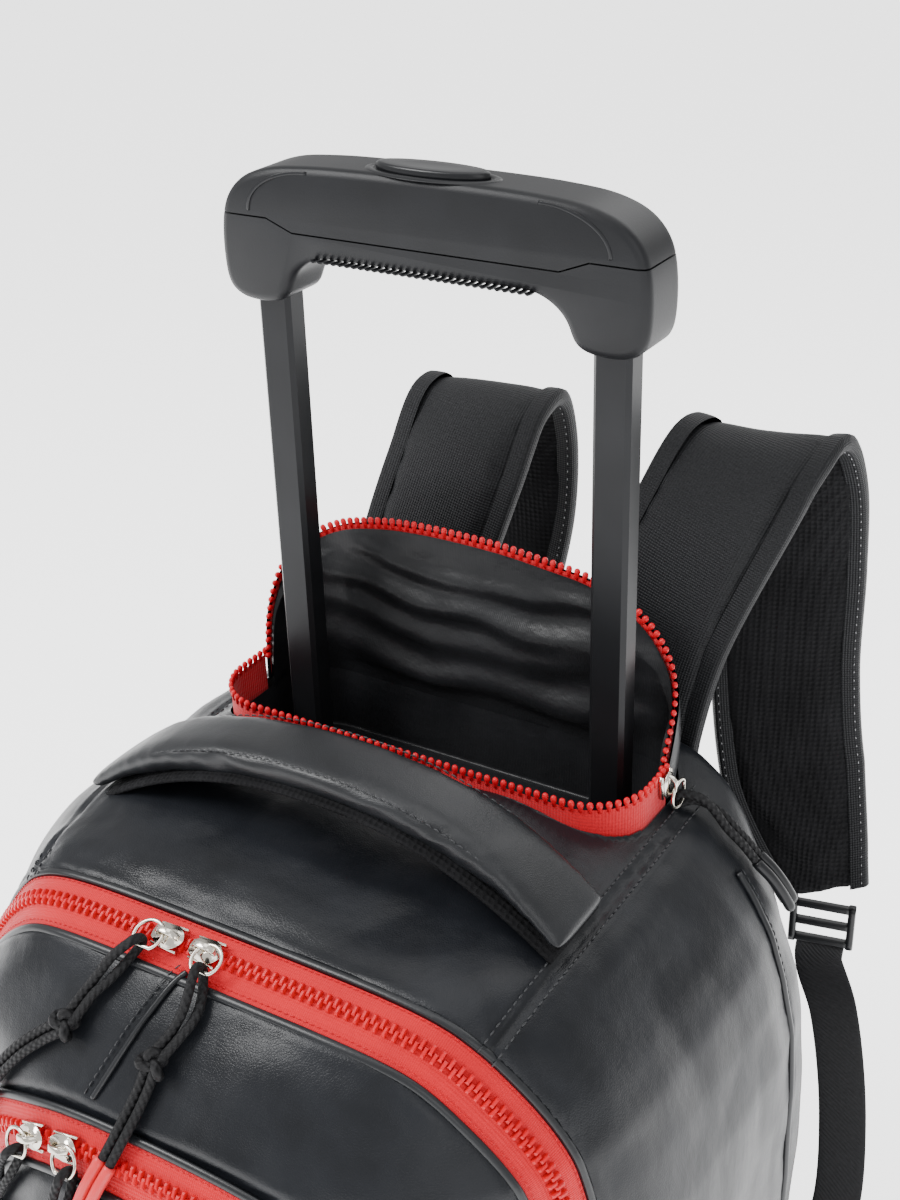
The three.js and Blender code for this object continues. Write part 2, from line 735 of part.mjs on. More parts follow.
function turnedAcross(lean) {
  const angle = THREE.MathUtils.degToRad(lean);
  return new THREE.Vector3(Math.cos(angle), Math.sin(angle), 0);
}

function strapStations(table) {
  const centres = table.map((row) => pathPoint(row));
  const curve = new THREE.CatmullRomCurve3(centres, false, 'centripetal');
  const stations = [];
  for (let i = 0; i <= strapSteps; i += 1) {
    const share = i / strapSteps;
    const centre = curve.getPoint(share);
    const tangent = curve.getTangent(share);
    const place = share * (table.length - 1);
    const row = Math.min(Math.floor(place), table.length - 2);
    const lean = THREE.MathUtils.lerp(table[row].lean, table[row + 1].lean, place - row);
    const level = turnedAcross(lean);
    const across = level.addScaledVector(tangent, -level.dot(tangent)).normalize();
    const out = new THREE.Vector3().crossVectors(tangent, across).normalize();
    const past = Math.max(0, (share - strapTaperFrom) / (1 - strapTaperFrom));
    const taper = 1 - strapTaper * past ** 1.4;
    stations.push({ centre, across, out: out.negate(), width: strapWidth * taper, thick: strapThick });
  }
  return stations;
}

function closedOutward(geometry) {
  const solid = toSolid(geometry);
  if (solid.volume() > 0) return geometry;
  const flipped = geometry.clone();
  const index = Array.from(flipped.index.array);
  for (let i = 0; i < index.length; i += 3) [index[i], index[i + 1]] = [index[i + 1], index[i]];
  flipped.setIndex(index);
  return flipped;
}

function addStrap(name, table) {
  return addPiece(name, closedOutward(stripGeometry(strapStations(table))), materials.nylon);
}

const rightStrapMesh = addStrap('shoulder_strap_right', rightStrap);
const leftStrapMesh = addStrap('shoulder_strap_left', leftStrap);

// Ladder locks and webbing, the same on both sides
const strapEnd = rightStrap.at(-1);
const webbingPath = [
  { across: 0.888, behind: 0.835, high: 0.522 },
  { across: 0.972, behind: 0.682, high: 0.373 },
  { across: 1, behind: 0.47, high: 0.248 },
  { across: 0.944, behind: 0.21, high: 0.161 },
  { across: 0.831, behind: 0, high: 0.123 },
];
const lockSlots = [{ low: 0.14, high: 0.38 }, { low: 0.62, high: 0.86 }];
const lockRail = 4;

const lockSamples = 16;

// The height of a ladder lock's top, just under the end of its strap. The lock's top face is
// tried at a grid of points.
function findLockTop(side) {
  const place = pathPoint(strapEnd, side);
  const lowered = place.clone().setZ(place.z - strapWidth);
  const points = [];
  for (let i = 0; i <= lockSamples; i += 1) {
    for (let j = 0; j <= lockSamples; j += 1) {
      const spot = new THREE.Vector3(lockWidth * (i / lockSamples - 0.5), (lockThick * j) / lockSamples, 0);
      spot.applyAxisAngle(new THREE.Vector3(0, 0, 1), side * THREE.MathUtils.degToRad(strapEnd.lean));
      points.push(spot.add(lowered));
    }
  }
  return lowered.z + roomTo(side > 0 ? rightStrapMesh : leftStrapMesh, points, new THREE.Vector3(0, 0, 1));
}

const lockTops = { [-1]: findLockTop(-1), 1: findLockTop(1) };

function lockGeometry(side) {
  const w = lockWidth / 2;
  const shape = new THREE.Shape([
    new THREE.Vector2(-w, -lockHeight), new THREE.Vector2(w, -lockHeight),
    new THREE.Vector2(w, 0), new THREE.Vector2(-w, 0),
  ]);
  for (const { low, high } of lockSlots) {
    const side = w - lockRail;
    const corners = [[-side, high], [-side, low], [side, low], [side, high]];
    shape.holes.push(new THREE.Path(corners.map(([x, down]) => new THREE.Vector2(x, -lockHeight * down))));
  }
  const geometry = frontPlate(shape, 0, lockThick);
  geometry.rotateZ(side * THREE.MathUtils.degToRad(strapEnd.lean));
  const place = pathPoint(strapEnd, side);
  geometry.translate(place.x, place.y, lockTops[side]);
  return geometry;
}

// The webbing's foot lies behind the back of the bag by the given distance.
function webbingStations(side, footBehind) {
  const centres = webbingPath.map((row) => pathPoint(row, side));
  centres.at(-1).y += footBehind;
  const start = pathPoint(strapEnd, side).setZ(lockTops[side] - lockHeight - webWidth / 2);
  start.y += lockThick / 2;
  centres.unshift(start.clone().setZ(lockTops[side] - lockHeight - gap), start);
  const curve = new THREE.CatmullRomCurve3(centres, false, 'centripetal');
  const steps = 12;
  const stations = [];
  for (let i = 0; i <= steps; i += 1) {
    const centre = curve.getPoint(i / steps);
    const tangent = curve.getTangent(i / steps);
    const level = turnedAcross(side * strapEnd.lean);
    const across = level.addScaledVector(tangent, -level.dot(tangent)).normalize();
    const out = new THREE.Vector3().crossVectors(tangent, across).normalize();
    stations.push({ centre, across, out, width: webWidth, thick: webThick });
  }
  return stations;
}

// The webbing is drawn clear of the bag first, then its foot is brought to the bag's back.
function seatedWebbing(side) {
  let footBehind = webWidth;
  for (let i = 0; i < 4; i += 1) {
    const points = acrossPoints(webbingStations(side, footBehind));
    footBehind -= roomTo(shellMesh, points, new THREE.Vector3(0, -1, 0));
  }
  return closedOutward(stripGeometry(webbingStations(side, footBehind)));
}

for (const [side, label] of [[1, 'right'], [-1, 'left']]) {
  addPiece(`ladder_lock_${label}`, lockGeometry(side), materials.plastic);
  addPiece(`lower_webbing_${label}`, seatedWebbing(side), materials.webbing);
}

// Pull handle: tubes, grip in two shells, and push button
const gripRim = bodyTop - gripSunk + handleTravel;
const gripTop = gripRim + gripHeight;
const gripParting = gripRim + gripPartingHeight;
const gripPartingMiddle = gripParting + gripPartingKink;
const gripUnderside = gripRim + gripOpening;
const socketTop = gripRim + socketDepth;
const fixedTubeTop = wellFloor + liningThick + fixedTubeProud;
const tubeFoot = fixedTubeTop - tubeEngaged;
const runningSection = tubeSection(tubeWidth + 2 * gap, tubeDepth + 2 * gap, tubeChamfer);

for (const [side, label] of [[1, 'right'], [-1, 'left']]) {
  const x = (side * tubeSpacing) / 2;
  const innerWidth = tubeWidth - 2 * tubeWall;
  const innerSection = tubeSection(innerWidth, tubeDepth - 2 * tubeWall, tubeChamfer - tubeWall / 2);
  const slidingTube = upright(tubeSection(tubeWidth, tubeDepth, tubeChamfer), x, tubeFoot, socketTop - gap)
    .subtract(upright(innerSection, x, tubeFoot - 1, socketTop + 1));
  addPiece(`sliding_tube_${label}`, toGeometry(slidingTube), materials.tube);
  const fixedFoot = bodyBottom + clothWall + gap;
  const fixedBore = upright(runningSection, x, 0, gripTop);
  const fixedSection = tubeSection(fixedOuterWidth, fixedOuterDepth, tubeChamfer);
  const fixedTube = upright(fixedSection, x, fixedFoot, fixedTubeTop);
  addPiece(`fixed_tube_${label}`, toGeometry(fixedTube.subtract(fixedBore)), materials.tube);
}

// Half outlines of the grip seen from the front, from the middle outward, mirrored for the other
// half.
function mirroredShape(half) {
  const other = half.filter(([x]) => x > 0).map(([x, z]) => [-x, z]).reverse();
  return new THREE.Shape([...half, ...other].map(([x, z]) => new THREE.Vector2(x, z)));
}

const legX = tubeSpacing / 2;
const legInner = legX - gripLegHalfWidth;
const lowerGripHalf = [
  [0, gripUnderside],
  [legInner - 14, gripUnderside],
  [legInner - 4, gripUnderside - 4],
  [legInner, gripUnderside - 13],
  [legInner, gripRim],
  [legX + gripLegHalfWidth, gripRim],
  [gripHalfWidth, gripRim + 12],
  [gripHalfWidth, gripParting],
  [legX - 6, gripParting],
  [legInner - 3, gripPartingMiddle],
  [0, gripPartingMiddle],
];
const upperGripHalf = [
  [0, gripPartingMiddle + gap],
  [legInner - 3, gripPartingMiddle + gap],
  [legX - 6, gripParting + gap],
  [gripHalfWidth, gripParting + gap],
  [gripHalfWidth, gripTop - 22],
  [gripHalfWidth - 5, gripTop - 11],
  [gripHalfWidth - 15, gripTop - 5],
  [gripHalfWidth * 0.55, gripTop - 1],
  [0, gripTop],
];

function gripSolid(half) {
  const geometry = new THREE.ExtrudeGeometry(mirroredShape(half), {
    depth: gripDepth - 2 * gripChamfer,
    bevelEnabled: true,
    bevelThickness: gripChamfer,
    bevelSize: gripChamfer,
    bevelOffset: -gripChamfer,
    bevelSegments: 2,
  });
  geometry.rotateX(Math.PI / 2);
  geometry.translate(0, gripDepth / 2 - gripChamfer, 0);
  return toSolid(geometry);
}

// The grip with full, unbevelled faces where the two shells meet.
function gripShell(half, fromZ, toZ) {
  const whole = gripSolid([
    ...lowerGripHalf.slice(0, 8),
    ...upperGripHalf.slice(4),
  ]);
  const slab = toSolid(frontPlate(mirroredShape(half), -gripDepth, gripDepth));
  const band = box(-gripHalfWidth * 2, gripHalfWidth * 2, -gripDepth, gripDepth, fromZ, toZ);
  return whole.intersect(slab).intersect(band);
}

function buttonOutline(grow) {
  const shape = new THREE.Shape();
  const halfWidth = buttonWidth / 2 + grow;
  shape.absellipse(0, -buttonSetback, halfWidth, buttonDepth / 2 + grow, 0, Math.PI * 2, false, 0);
  return new THREE.Shape(shape.extractPoints(10).shape);
}

function buttonBlock(grow, fromZ, toZ) {
  const depth = toZ - fromZ;
  const geometry = new THREE.ExtrudeGeometry(buttonOutline(grow), { depth, bevelEnabled: false });
  geometry.translate(0, 0, fromZ);
  return toSolid(geometry);
}

const sockets = bothSides((side) => upright(runningSection, side * legX, gripRim - 1, socketTop));
const gripLower = gripShell(lowerGripHalf, 0, gripTop).subtract(sockets);
addPiece('grip_lower', toGeometry(gripLower), materials.plastic);

const buttonSeat = gripTop - buttonSunk;
const gripUpper = gripShell(upperGripHalf, 0, gripTop + 5)
  .subtract(buttonBlock(buttonClearance, buttonSeat - buttonTravel - gap, gripTop + 10));
addPiece('grip_upper', toGeometry(gripUpper), materials.plastic);
addPiece('push_button', toGeometry(buttonBlock(0, buttonSeat, gripTop + buttonProud)), materials.plastic);

// Base moulding, wheels, axles and feet
const plateTop = bodyBottom - gap;
const plateBottom = plateTop - basePlateThick;

function basePlate() {
  const first = bodySections[0];
  const ring = bodyRing(first, 0, innerPoints);
  const shape = new THREE.Shape(ring.map((p) => new THREE.Vector2(p.x, p.y)));
  const geometry = new THREE.ExtrudeGeometry(shape, { depth: basePlateThick, bevelEnabled: false });
  geometry.translate(0, 0, plateBottom);
  return toSolid(geometry);
}

function wheelArch(side) {
  const inner = wheelInner - mouldingWall;
  const outer = wheelOuter + mouldingWall;
  const span = (a, b) => (side > 0 ? [a, b] : [-b, -a]);
  const back = wheelBack + axleRadius + archBehindAxle;
  const front = archFront - mouldingWall;
  const cover = box(...span(inner, outer), front, back, axleRadius, archTop + mouldingWall);
  const room = box(...span(wheelInner, wheelOuter), archFront, back + 1, -1, archTop);
  return cover.subtract(room);
}

function axleBore(side, radius, reach) {
  const geometry = new THREE.CylinderGeometry(radius, radius, reach, 16);
  geometry.rotateZ(Math.PI / 2);
  geometry.translate(side * wheelOffset, wheelBack, wheelRadius);
  return toSolid(geometry);
}

const archSpace = bothSides((side) => {
  const span = side > 0 ? [wheelInner, bodyHalfWidth * 1.3] : [-bodyHalfWidth * 1.3, -wheelInner];
  return box(...span, archFront, bodyBack * 2, -1, archTop);
});
const baseMoulding = basePlate().subtract(archSpace).add(bothSides(wheelArch))
  .subtract(bothSides((side) => axleBore(side, axleRadius + gap, wheelWidth * 3)));
addPiece('base_moulding', toGeometry(baseMoulding), materials.plastic);

function wheelProfile() {
  const w = wheelWidth / 2;
  const bore = axleRadius + axleClearance;
  const hub = wheelRadius * 0.42;
  const rim = wheelRadius * 0.74;
  const points = [
    [bore, -w], [hub, -w], [rim, -w * 0.55], [rim, -w * 0.92], [wheelRadius, -w * 0.7],
    [wheelRadius, w * 0.7], [rim, w * 0.92], [rim, w * 0.55], [hub, w], [bore, w], [bore, -w],
  ];
  return points.map(([r, along]) => new THREE.Vector2(r, along));
}

for (const [side, label] of [[1, 'right'], [-1, 'left']]) {
  const wheel = mergeVertices(stripped(new THREE.LatheGeometry(wheelProfile(), 16)), 1e-4);
  wheel.rotateZ(Math.PI / 2);
  const wheelMesh = addPiece(`wheel_${label}`, closedOutward(wheel), materials.tyre);
  wheelMesh.position.set(side * wheelOffset, wheelBack, wheelRadius);
  const axleLength = wheelOuter - wheelInner + 2 * mouldingWall;
  const axle = new THREE.CylinderGeometry(axleRadius, axleRadius, axleLength, 12);
  axle.rotateZ(Math.PI / 2);
  const axleMesh = addPiece(`axle_${label}`, axle, materials.steel);
  axleMesh.position.set(side * wheelOffset, wheelBack, wheelRadius);
  const footTop = plateBottom - gap;
  const foot = new THREE.BoxGeometry(footWidth, footDepth, footTop);
  const footMesh = addPiece(`front_foot_${label}`, foot, materials.plastic);
  footMesh.position.set(side * footOffset, footSetback - bodyFront, footTop / 2);
}

function stripped(geometry) {
  const bare = geometry.clone();
  bare.deleteAttribute('normal');
  bare.deleteAttribute('uv');
  return bare;
}

// Sliders and rings. A slider's own frame has X along the zip, Y up the slope and Z out of the
// bag, with the zip tape's face at Z = 0.
const plateFoot = chainRise + gap;
const plateTopSide = plateFoot + sliderThick;
const ringHeight = plateTopSide + gap + ringWire / 2 + ringLift;
const barFoot = ringHeight + ringWire / 2 + gap;

function sliderSolid() {
  const halfLength = sliderLength / 2;
  const halfWidth = sliderWidth / 2;
  const halfPost = bridgePost / 2;
  const plate = box(-halfLength, halfLength, -halfWidth, halfWidth, plateFoot, plateTopSide);
  const wall = (side) => {
    const edges = [side * halfWidth, side * (halfWidth - sliderWall)].sort((a, b) => a - b);
    return box(-halfLength, halfLength, edges[0], edges[1], gap, plateFoot);
  };
  const post = (side) => box(
    side * bridgeHalf - halfPost, side * bridgeHalf + halfPost, -halfPost, halfPost, plateTopSide, barFoot,
  );
  const reach = bridgeHalf + halfPost;
  const bar = box(-reach, reach, -halfPost, halfPost, barFoot, barFoot + bridgeBar);
  return plate.add(bothSides(wall)).add(bothSides(post)).add(bar);
}

function ringSolid(seat) {
  const geometry = new THREE.TorusGeometry(ringRadius, ringWire / 2, 5, 10);
  geometry.translate(seat.ringAside, -seat.ringDown, ringHeight);
  return toSolid(geometry);
}

function placed(solid, seat) {
  const up = new THREE.Vector3().crossVectors(seat.out, seat.along);
  const matrix = new THREE.Matrix4().makeBasis(seat.along, up, seat.out).setPosition(seat.at);
  return toGeometry(solid).applyMatrix4(matrix);
}

// Where a slider sits on one of the body's zips: on the tape's face at the given x.
function zipSeat(tape, line, x) {
  const { point, normal } = zipPoint(line, x);
  const eye = point.addScaledVector(normal, zipBand);
  const hit = new THREE.Raycaster(eye, normal.clone().negate()).intersectObject(tape)[0];
  const out = hit.face.normal.clone();
  const along = zipPoint(line, x + 1).point.sub(zipPoint(line, x - 1).point);
  along.addScaledVector(out, -along.dot(out)).normalize();
  return { at: hit.point, out, along };
}

// The slider at the right end of the pouch's front zip stands upright on the tape's outer face.
function pouchSeat() {
  const middle = frontZipEnd - gap - sliderWidth / 2;
  return {
    at: new THREE.Vector3(wellHalfWidth - gap, middle, frontZipTop - sliderLength / 3),
    out: new THREE.Vector3(1, 0, 0),
    along: new THREE.Vector3(0, 0, 1),
  };
}

// Pull cords. Each is one cord, doubled through its ring. The route is the line between its two
// strands, in millimetres, chosen by hand, from the middle of the ring's wire to the ends of the
// tips. away is the way out of the bag there. The knot is round the route's point knotAt, and the
// tips cover the route from its point tipsFrom on.
const pulls = [
  {
    name: 'main_left', seat: zipSeat(mainZip, mainZipLine, -24.7),
    ringAside: -6.8, ringDown: 3.4, away: [-0.1, -0.75, 0.65], knotAt: 4, tipsFrom: 8,
    route: [
      [-35.4, -188.3, 447.3], [-39.2, -193.6, 442.4], [-42.8, -198.6, 436.8], [-47.6, -204, 430],
      [-54.6, -213.5, 417.8], [-64.8, -216.2, 409.6], [-75.4, -219.7, 400.4], [-87.8, -222.8, 385.8],
      [-95.4, -224.2, 373.9], [-101.8, -224.5, 361.4], [-105.8, -225.3, 348.3], [-109, -225.2, 337],
    ],
  },
  {
    name: 'main_right', seat: zipSeat(mainZip, mainZipLine, -5.6),
    ringAside: 4.2, ringDown: 4.2, away: [0, -0.75, 0.66], knotAt: 4, tipsFrom: 8,
    route: [
      [-1.5, -190.3, 446.6], [0.6, -196.2, 440.8], [0.5, -200.8, 435.4], [-2.2, -206.3, 428.9],
      [-7.6, -214.9, 419.3], [-9, -219.4, 411], [-10.9, -224.4, 403], [-13.2, -231.7, 393.8],
      [-17, -238, 382.7], [-20.6, -244, 373], [-24.6, -248.6, 360.5], [-27.4, -253.2, 345.5],
    ],
  },
  {
    name: 'pocket_left', seat: zipSeat(pocketZip, pocketZipLine, -58.5),
    ringAside: -6.4, ringDown: 3.4, away: [-0.45, -0.88, 0.17], knotAt: 4, tipsFrom: 6,
    route: [
      [-67.7, -240, 364], [-71.9, -240.6, 356], [-77.1, -240.6, 345.7], [-84, -238.8, 334.2],
      [-92.5, -237.3, 322.9], [-96.9, -235.8, 306.4], [-99.9, -236.4, 290.4], [-101.7, -237.4, 276],
      [-102.7, -238.4, 263], [-102.9, -239, 252],
    ],
  },
  {
    name: 'pocket_right', seat: zipSeat(pocketZip, pocketZipLine, -38.9),
    ringAside: 4.2, ringDown: 4.2, away: [-0.15, -0.94, 0.3], knotAt: 4, tipsFrom: 6,
    route: [
      [-33.9, -244.7, 371.2], [-35.2, -247.8, 362.2], [-37.6, -249.4, 353.5], [-41.6, -251.6, 341.6],
      [-46.8, -254.9, 325.2], [-51.1, -255.3, 306], [-53.6, -256.2, 292], [-55.6, -257, 279],
      [-57.6, -258, 265.5], [-59.8, -258, 254],
    ],
  },
  {
    name: 'trolley', seat: pouchSeat(),
    ringAside: -6, ringDown: 4.2, away: [0.62, 0, 0.78], tipsFrom: 6,
    route: [
      [115.8, 3.8, 452.4], [120, 6.2, 452.2], [125, 9.2, 449], [130.3, 10.8, 444.2],
      [135.8, 12, 438], [141.3, 14.5, 431], [147, 17, 422.6], [153, 20, 414.8],
      [158.5, 22.6, 405.6], [162.8, 24.8, 396.2],
    ],
  },
];
const loopRadius = (ringWire + cordDiameter) / 2 + loopClearance;
const strandHalf = cordDiameter / 2 + 0.2;
const tipHalf = tipDiameter / 2 + gap;
const untwistedBy = 24;
const cordSides = 8;

// A curve sampled at its own points, so that the tight turn round the ring keeps its shape.
class PointCurve extends THREE.CatmullRomCurve3 {
  getPointAt(share, target) {
    return this.getPoint(share, target);
  }

  getTangentAt(share, target) {
    return this.getTangent(share, target);
  }
}

function cordTube(points, diameter) {
  const section = [];
  for (let i = 0; i < cordSides; i += 1) {
    const angle = (2 * Math.PI * i) / cordSides;
    section.push(new THREE.Vector2(Math.cos(angle), Math.sin(angle)).multiplyScalar(diameter / 2));
  }
  return new THREE.ExtrudeGeometry(new THREE.Shape(section), {
    steps: points.length - 1,
    bevelEnabled: false,
    extrudePath: new PointCurve(points, false, 'centripetal'),
  });
}

function routeLine(pull) {
  return new THREE.CatmullRomCurve3(pull.route.map((p) => new THREE.Vector3(...p)), false, 'centripetal');
}

// The two strands of a pull between two of its route's points: stacked one over the other at the
// ring and side by side further on.
function strandFrames(pull, fromRow, toRow, diameter) {
  const line = routeLine(pull);
  const rows = pull.route.length - 1;
  const lengths = line.getLengths(rows * 20);
  const start = lengths[fromRow * 20];
  const span = lengths[toRow * 20] - start;
  const steps = Math.ceil(span / (3 * diameter));
  const away = new THREE.Vector3(...pull.away);
  const frames = [];
  for (let i = 0; i <= steps; i += 1) {
    const along = start + (span * i) / steps;
    const share = along / lengths.at(-1);
    const centre = line.getPointAt(share);
    const tangent = line.getTangentAt(share);
    const level = new THREE.Vector3().crossVectors(tangent, away).normalize();
    const up = new THREE.Vector3().crossVectors(level, tangent);
    const turned = Math.max(0, 1 - along / untwistedBy);
    const aside = level.multiplyScalar(Math.cos((turned * Math.PI) / 2));
    aside.addScaledVector(up, Math.sin((turned * Math.PI) / 2));
    const half = fromRow > 0 ? tipHalf : THREE.MathUtils.lerp(strandHalf, loopRadius, turned);
    frames.push({ centre, tangent, up, aside, half });
  }
  return frames;
}

function strand(frames, side) {
  return frames.map((f) => f.centre.clone().addScaledVector(f.aside, side * f.half));
}

function cordPoints(pull) {
  const frames = strandFrames(pull, 0, pull.tipsFrom, cordDiameter);
  const { centre, tangent, up } = frames[0];
  const turn = [0.25, 0.5, 0.75].map((share) => centre.clone()
    .addScaledVector(up, loopRadius * Math.cos(share * Math.PI))
    .addScaledVector(tangent, -loopRadius * Math.sin(share * Math.PI)));
  return [...strand(frames, 1).reverse(), ...turn, ...strand(frames, -1)];
}

// A knot's outside: a fat ring stretched round the two strands.
function knotSolid(pull) {
  const across = strandHalf + cordDiameter / 2 + knotClearance;
  const profile = [[across, -0.5], [across + knotThick * 0.7, -0.5], [across + knotThick, -0.15],
    [across + knotThick, 0.15], [across + knotThick * 0.7, 0.5], [across, 0.5], [across, -0.5]];
  const points = profile.map(([r, high]) => new THREE.Vector2(r, high * knotHeight));
  const geometry = mergeVertices(stripped(new THREE.LatheGeometry(points, 8)), 1e-4);
  geometry.scale(1, 1, (cordDiameter / 2 + knotClearance) / across);
  const tangent = routeLine(pull).getTangent(pull.knotAt / (pull.route.length - 1));
  const level = new THREE.Vector3().crossVectors(tangent, new THREE.Vector3(...pull.away)).normalize();
  const out = new THREE.Vector3().crossVectors(level, tangent);
  const matrix = new THREE.Matrix4().makeBasis(level, tangent, out);
  return closedOutward(geometry.applyMatrix4(matrix.setPosition(...pull.route[pull.knotAt])));
}

for (const pull of pulls) {
  const seat = { ...pull.seat, ringAside: pull.ringAside, ringDown: pull.ringDown };
  addPiece(`slider_${pull.name}`, placed(sliderSolid(), seat), materials.steel);
  addPiece(`pull_ring_${pull.name}`, placed(ringSolid(seat), seat), materials.steel);
  addPiece(`pull_cord_${pull.name}`, cordTube(cordPoints(pull), cordDiameter), materials.cord, cordGroup);
  if (pull.knotAt) addPiece(`cord_knot_${pull.name}`, knotSolid(pull), materials.cord, cordGroup);
  const tipFrames = strandFrames(pull, pull.tipsFrom, pull.route.length - 1, tipDiameter);
  tipFrames[0].centre.addScaledVector(tipFrames[0].tangent, gap);
  for (const side of [1, -1]) {
    const tip = cordTube(strand(tipFrames, side), tipDiameter);
    addPiece(`cord_tip_${pull.name}_${side > 0 ? 1 : 2}`, tip, materials.zipRed, cordGroup);
  }
}

const footprint = new THREE.Box3().setFromObject(model);
const centre = footprint.getCenter(new THREE.Vector3());
const group = new THREE.Group();
model.position.set(-centre.x, -centre.y, -footprint.min.z);
model.add(cordGroup);
group.add(model);

export default group;
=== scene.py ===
import math

import bmesh
import bpy
import numpy as np
from mathutils import Matrix, Vector
from mathutils.bvhtree import BVHTree


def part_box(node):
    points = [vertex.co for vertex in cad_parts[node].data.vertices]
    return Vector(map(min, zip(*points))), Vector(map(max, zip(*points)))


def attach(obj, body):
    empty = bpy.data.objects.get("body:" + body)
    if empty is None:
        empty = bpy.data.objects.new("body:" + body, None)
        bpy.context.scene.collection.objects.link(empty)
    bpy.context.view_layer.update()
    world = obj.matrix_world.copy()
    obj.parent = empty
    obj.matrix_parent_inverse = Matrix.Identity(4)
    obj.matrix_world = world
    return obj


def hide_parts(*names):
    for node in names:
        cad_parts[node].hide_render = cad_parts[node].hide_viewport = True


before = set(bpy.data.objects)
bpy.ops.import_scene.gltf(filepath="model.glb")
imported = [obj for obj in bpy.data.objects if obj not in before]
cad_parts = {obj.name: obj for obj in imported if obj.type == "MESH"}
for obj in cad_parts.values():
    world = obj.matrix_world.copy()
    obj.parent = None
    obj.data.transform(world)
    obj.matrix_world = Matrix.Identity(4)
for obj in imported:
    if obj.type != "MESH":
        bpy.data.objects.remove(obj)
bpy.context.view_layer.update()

dice = np.random.default_rng(7)

# everything below is drawn in millimetres with y = 0 at the handle's tubes, then put into the frame
tubeLow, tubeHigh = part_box("sliding_tube_right")
drawingShift = np.array([0.0, (tubeLow.y + tubeHigh.y) * 500, 0.0])


def toFrame(points):
    return (np.asarray(points, float) + drawingShift) / 1000


# camera
cameraLook = {"place": (358.9, -573.9, 878.3), "turn": 32.0, "down": 27.63, "roll": -1.80, "lens": 50.76}


def placeCamera(look):
    turn, down, roll = (math.radians(look[k]) for k in ("turn", "down", "roll"))
    ahead = Vector((-math.sin(turn) * math.cos(down), math.cos(turn) * math.cos(down), -math.sin(down)))
    right = Vector((math.cos(turn), math.sin(turn), 0))
    up = right.cross(ahead)
    tiltedRight = right * math.cos(roll) + up * math.sin(roll)
    tiltedUp = up * math.cos(roll) - right * math.sin(roll)
    data = bpy.data.cameras.new("photoCamera")
    data.sensor_fit, data.sensor_height, data.sensor_width = "VERTICAL", 36, 27
    data.lens, data.clip_start, data.clip_end = look["lens"], 0.01, 60
    camera = bpy.data.objects.new("photoCamera", data)
    bpy.context.scene.collection.objects.link(camera)
    turned = Matrix((tiltedRight, tiltedUp, -ahead)).transposed().to_4x4()
    camera.matrix_world = Matrix.Translation(Vector(toFrame(look["place"]))) @ turned
    bpy.context.scene.camera = camera


placeCamera(cameraLook)
print("camera placed")


